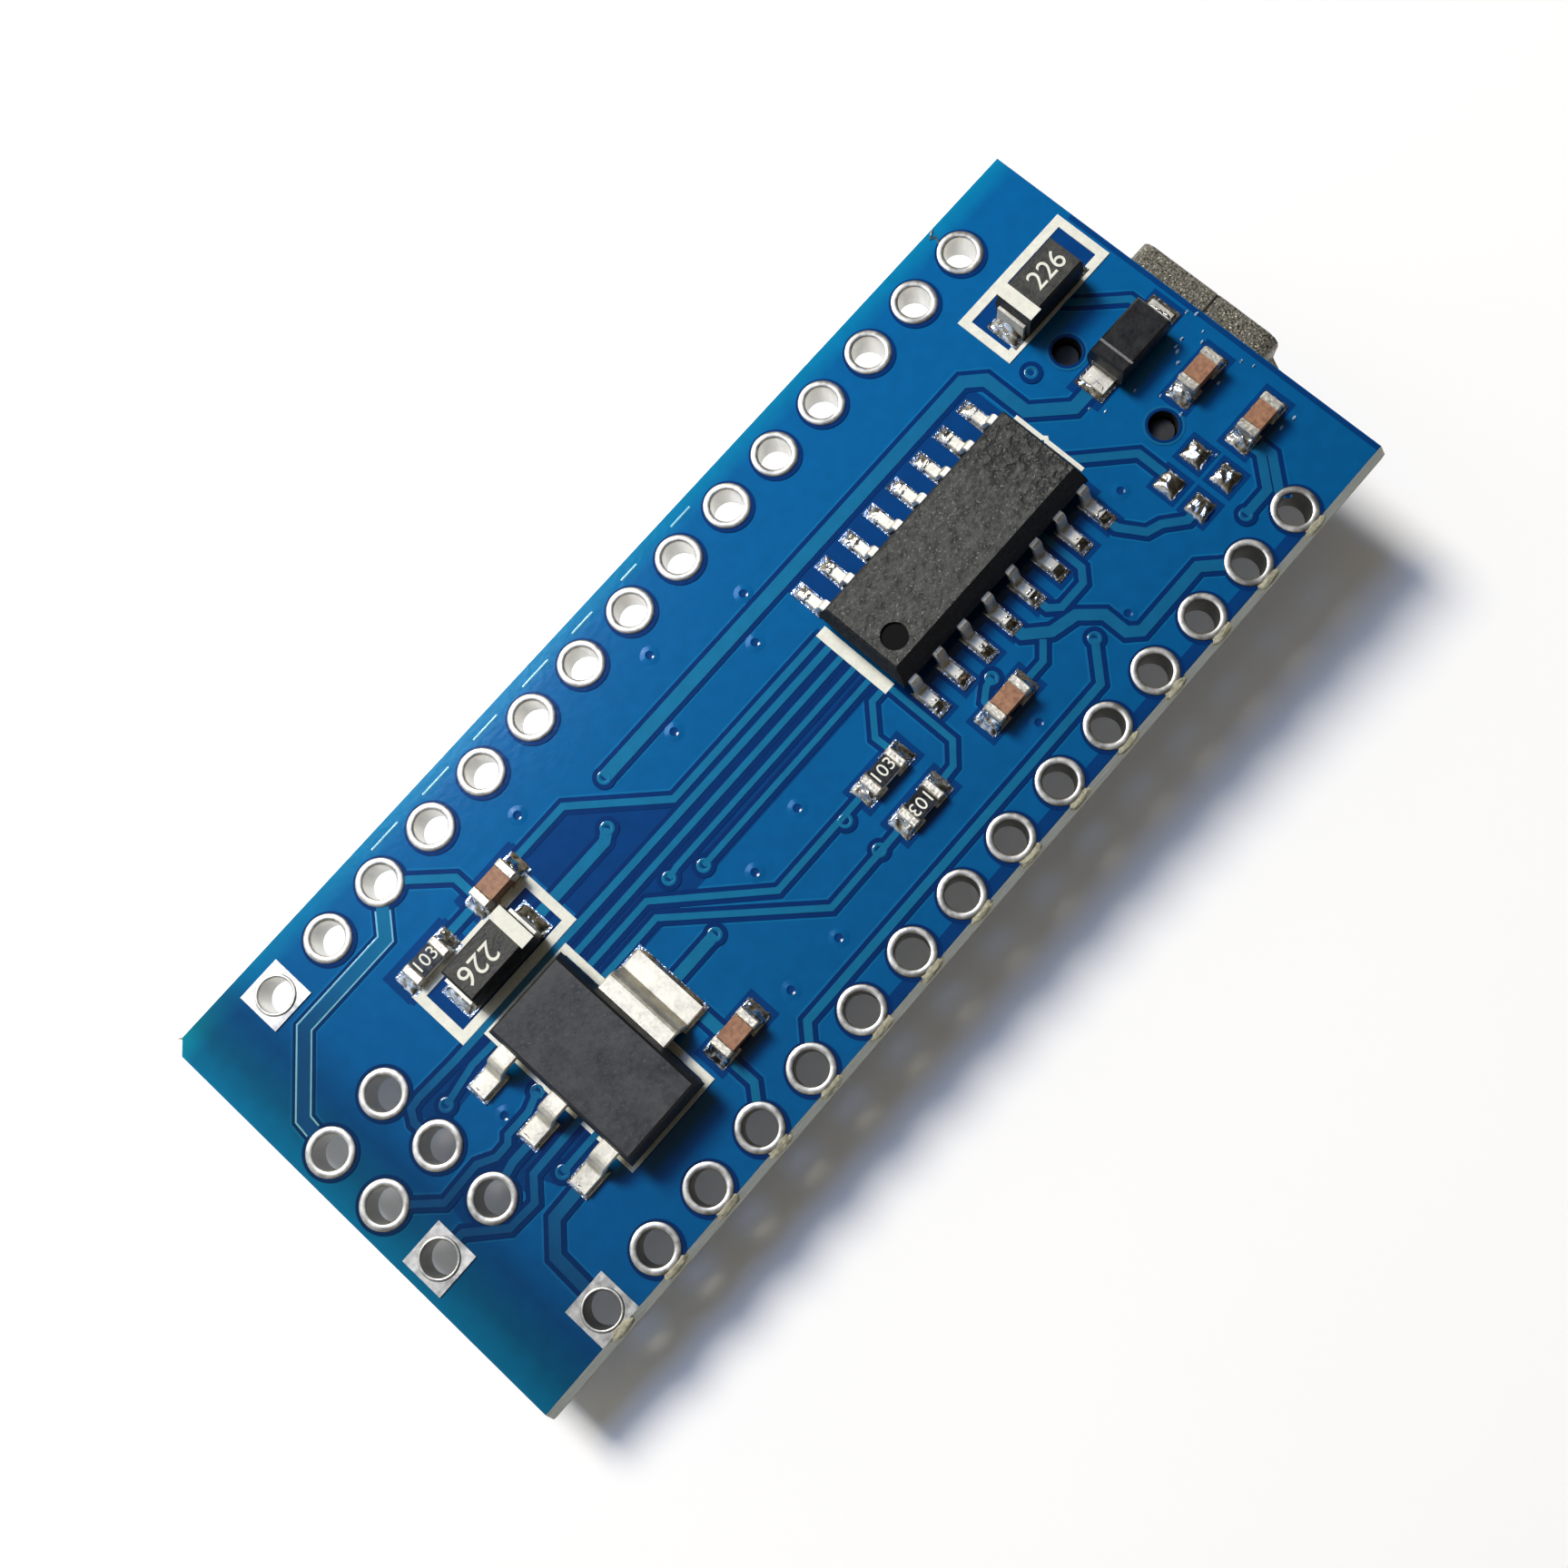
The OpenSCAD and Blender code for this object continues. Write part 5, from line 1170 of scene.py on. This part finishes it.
class BOARD_OT_stage(bpy.types.Operator):
    """Set the floor, the lights and the camera"""

    bl_idname = "board.stage"
    bl_label = "Stage"

    def execute(self, context):
        scene, settings = context.scene, context.scene.board_stage
        lay_card(scene)
        hang_windows(scene, settings.key)
        light_room(scene, settings.fill)
        # The camera is matched to the header holes in the photograph
        camera = bpy.data.cameras.new("camera")
        camera.sensor_width, camera.lens, camera.clip_start = 36, 40.41, 0.001
        camera.shift_x, camera.shift_y = -0.0232, -0.0347
        eye = bpy.data.objects.new("camera", camera)
        eye.location = Vector((-6.492, -11.686, 58.857)) * MM
        eye.rotation_euler = Euler([math.radians(a) for a in (12.694, 3.404, -48.565)])
        scene.collection.objects.link(eye)
        scene.camera = eye
        scene.view_settings.view_transform = "Standard"
        return {"FINISHED"}


STEPS = (
    BOARD_OT_finishes, BOARD_OT_bare_ground, BOARD_OT_traces, BOARD_OT_vias, BOARD_OT_underside,
    BOARD_OT_printing, BOARD_OT_rings, BOARD_OT_solder, BOARD_OT_leads, BOARD_OT_marks, BOARD_OT_edges,
    BOARD_OT_stage,
)
SETTINGS = {"board_sizes": BoardSizes, "board_colours": BoardColours, "board_stage": StageSettings}


class BOARD_PT_steps(bpy.types.Panel):
    """The steps that dress the board"""

    bl_label = "Board"
    bl_idname = "BOARD_PT_steps"
    bl_space_type = "VIEW_3D"
    bl_region_type = "UI"
    bl_category = "Board"

    def draw(self, context):
        for step in STEPS:
            self.layout.operator(step.bl_idname)
        for group in SETTINGS:
            settings = getattr(context.scene, group)
            for name in settings.bl_rna.properties.keys():
                if name not in ("rna_type", "name"):
                    self.layout.prop(settings, name)


def register():
    for group in SETTINGS.values():
        bpy.utils.register_class(group)
    for name, group in SETTINGS.items():
        setattr(bpy.types.Scene, name, PointerProperty(type=group))
    for step in STEPS + (BOARD_PT_steps,):
        bpy.utils.register_class(step)


def unregister():
    for step in reversed(STEPS + (BOARD_PT_steps,)):
        bpy.utils.unregister_class(step)
    for name in SETTINGS:
        delattr(bpy.types.Scene, name)
    for group in SETTINGS.values():
        bpy.utils.unregister_class(group)


def main():
    register()
    for step in STEPS:
        area, name = step.bl_idname.split(".")
        getattr(getattr(bpy.ops, area), name)()


if __name__ == "__main__":
    main()
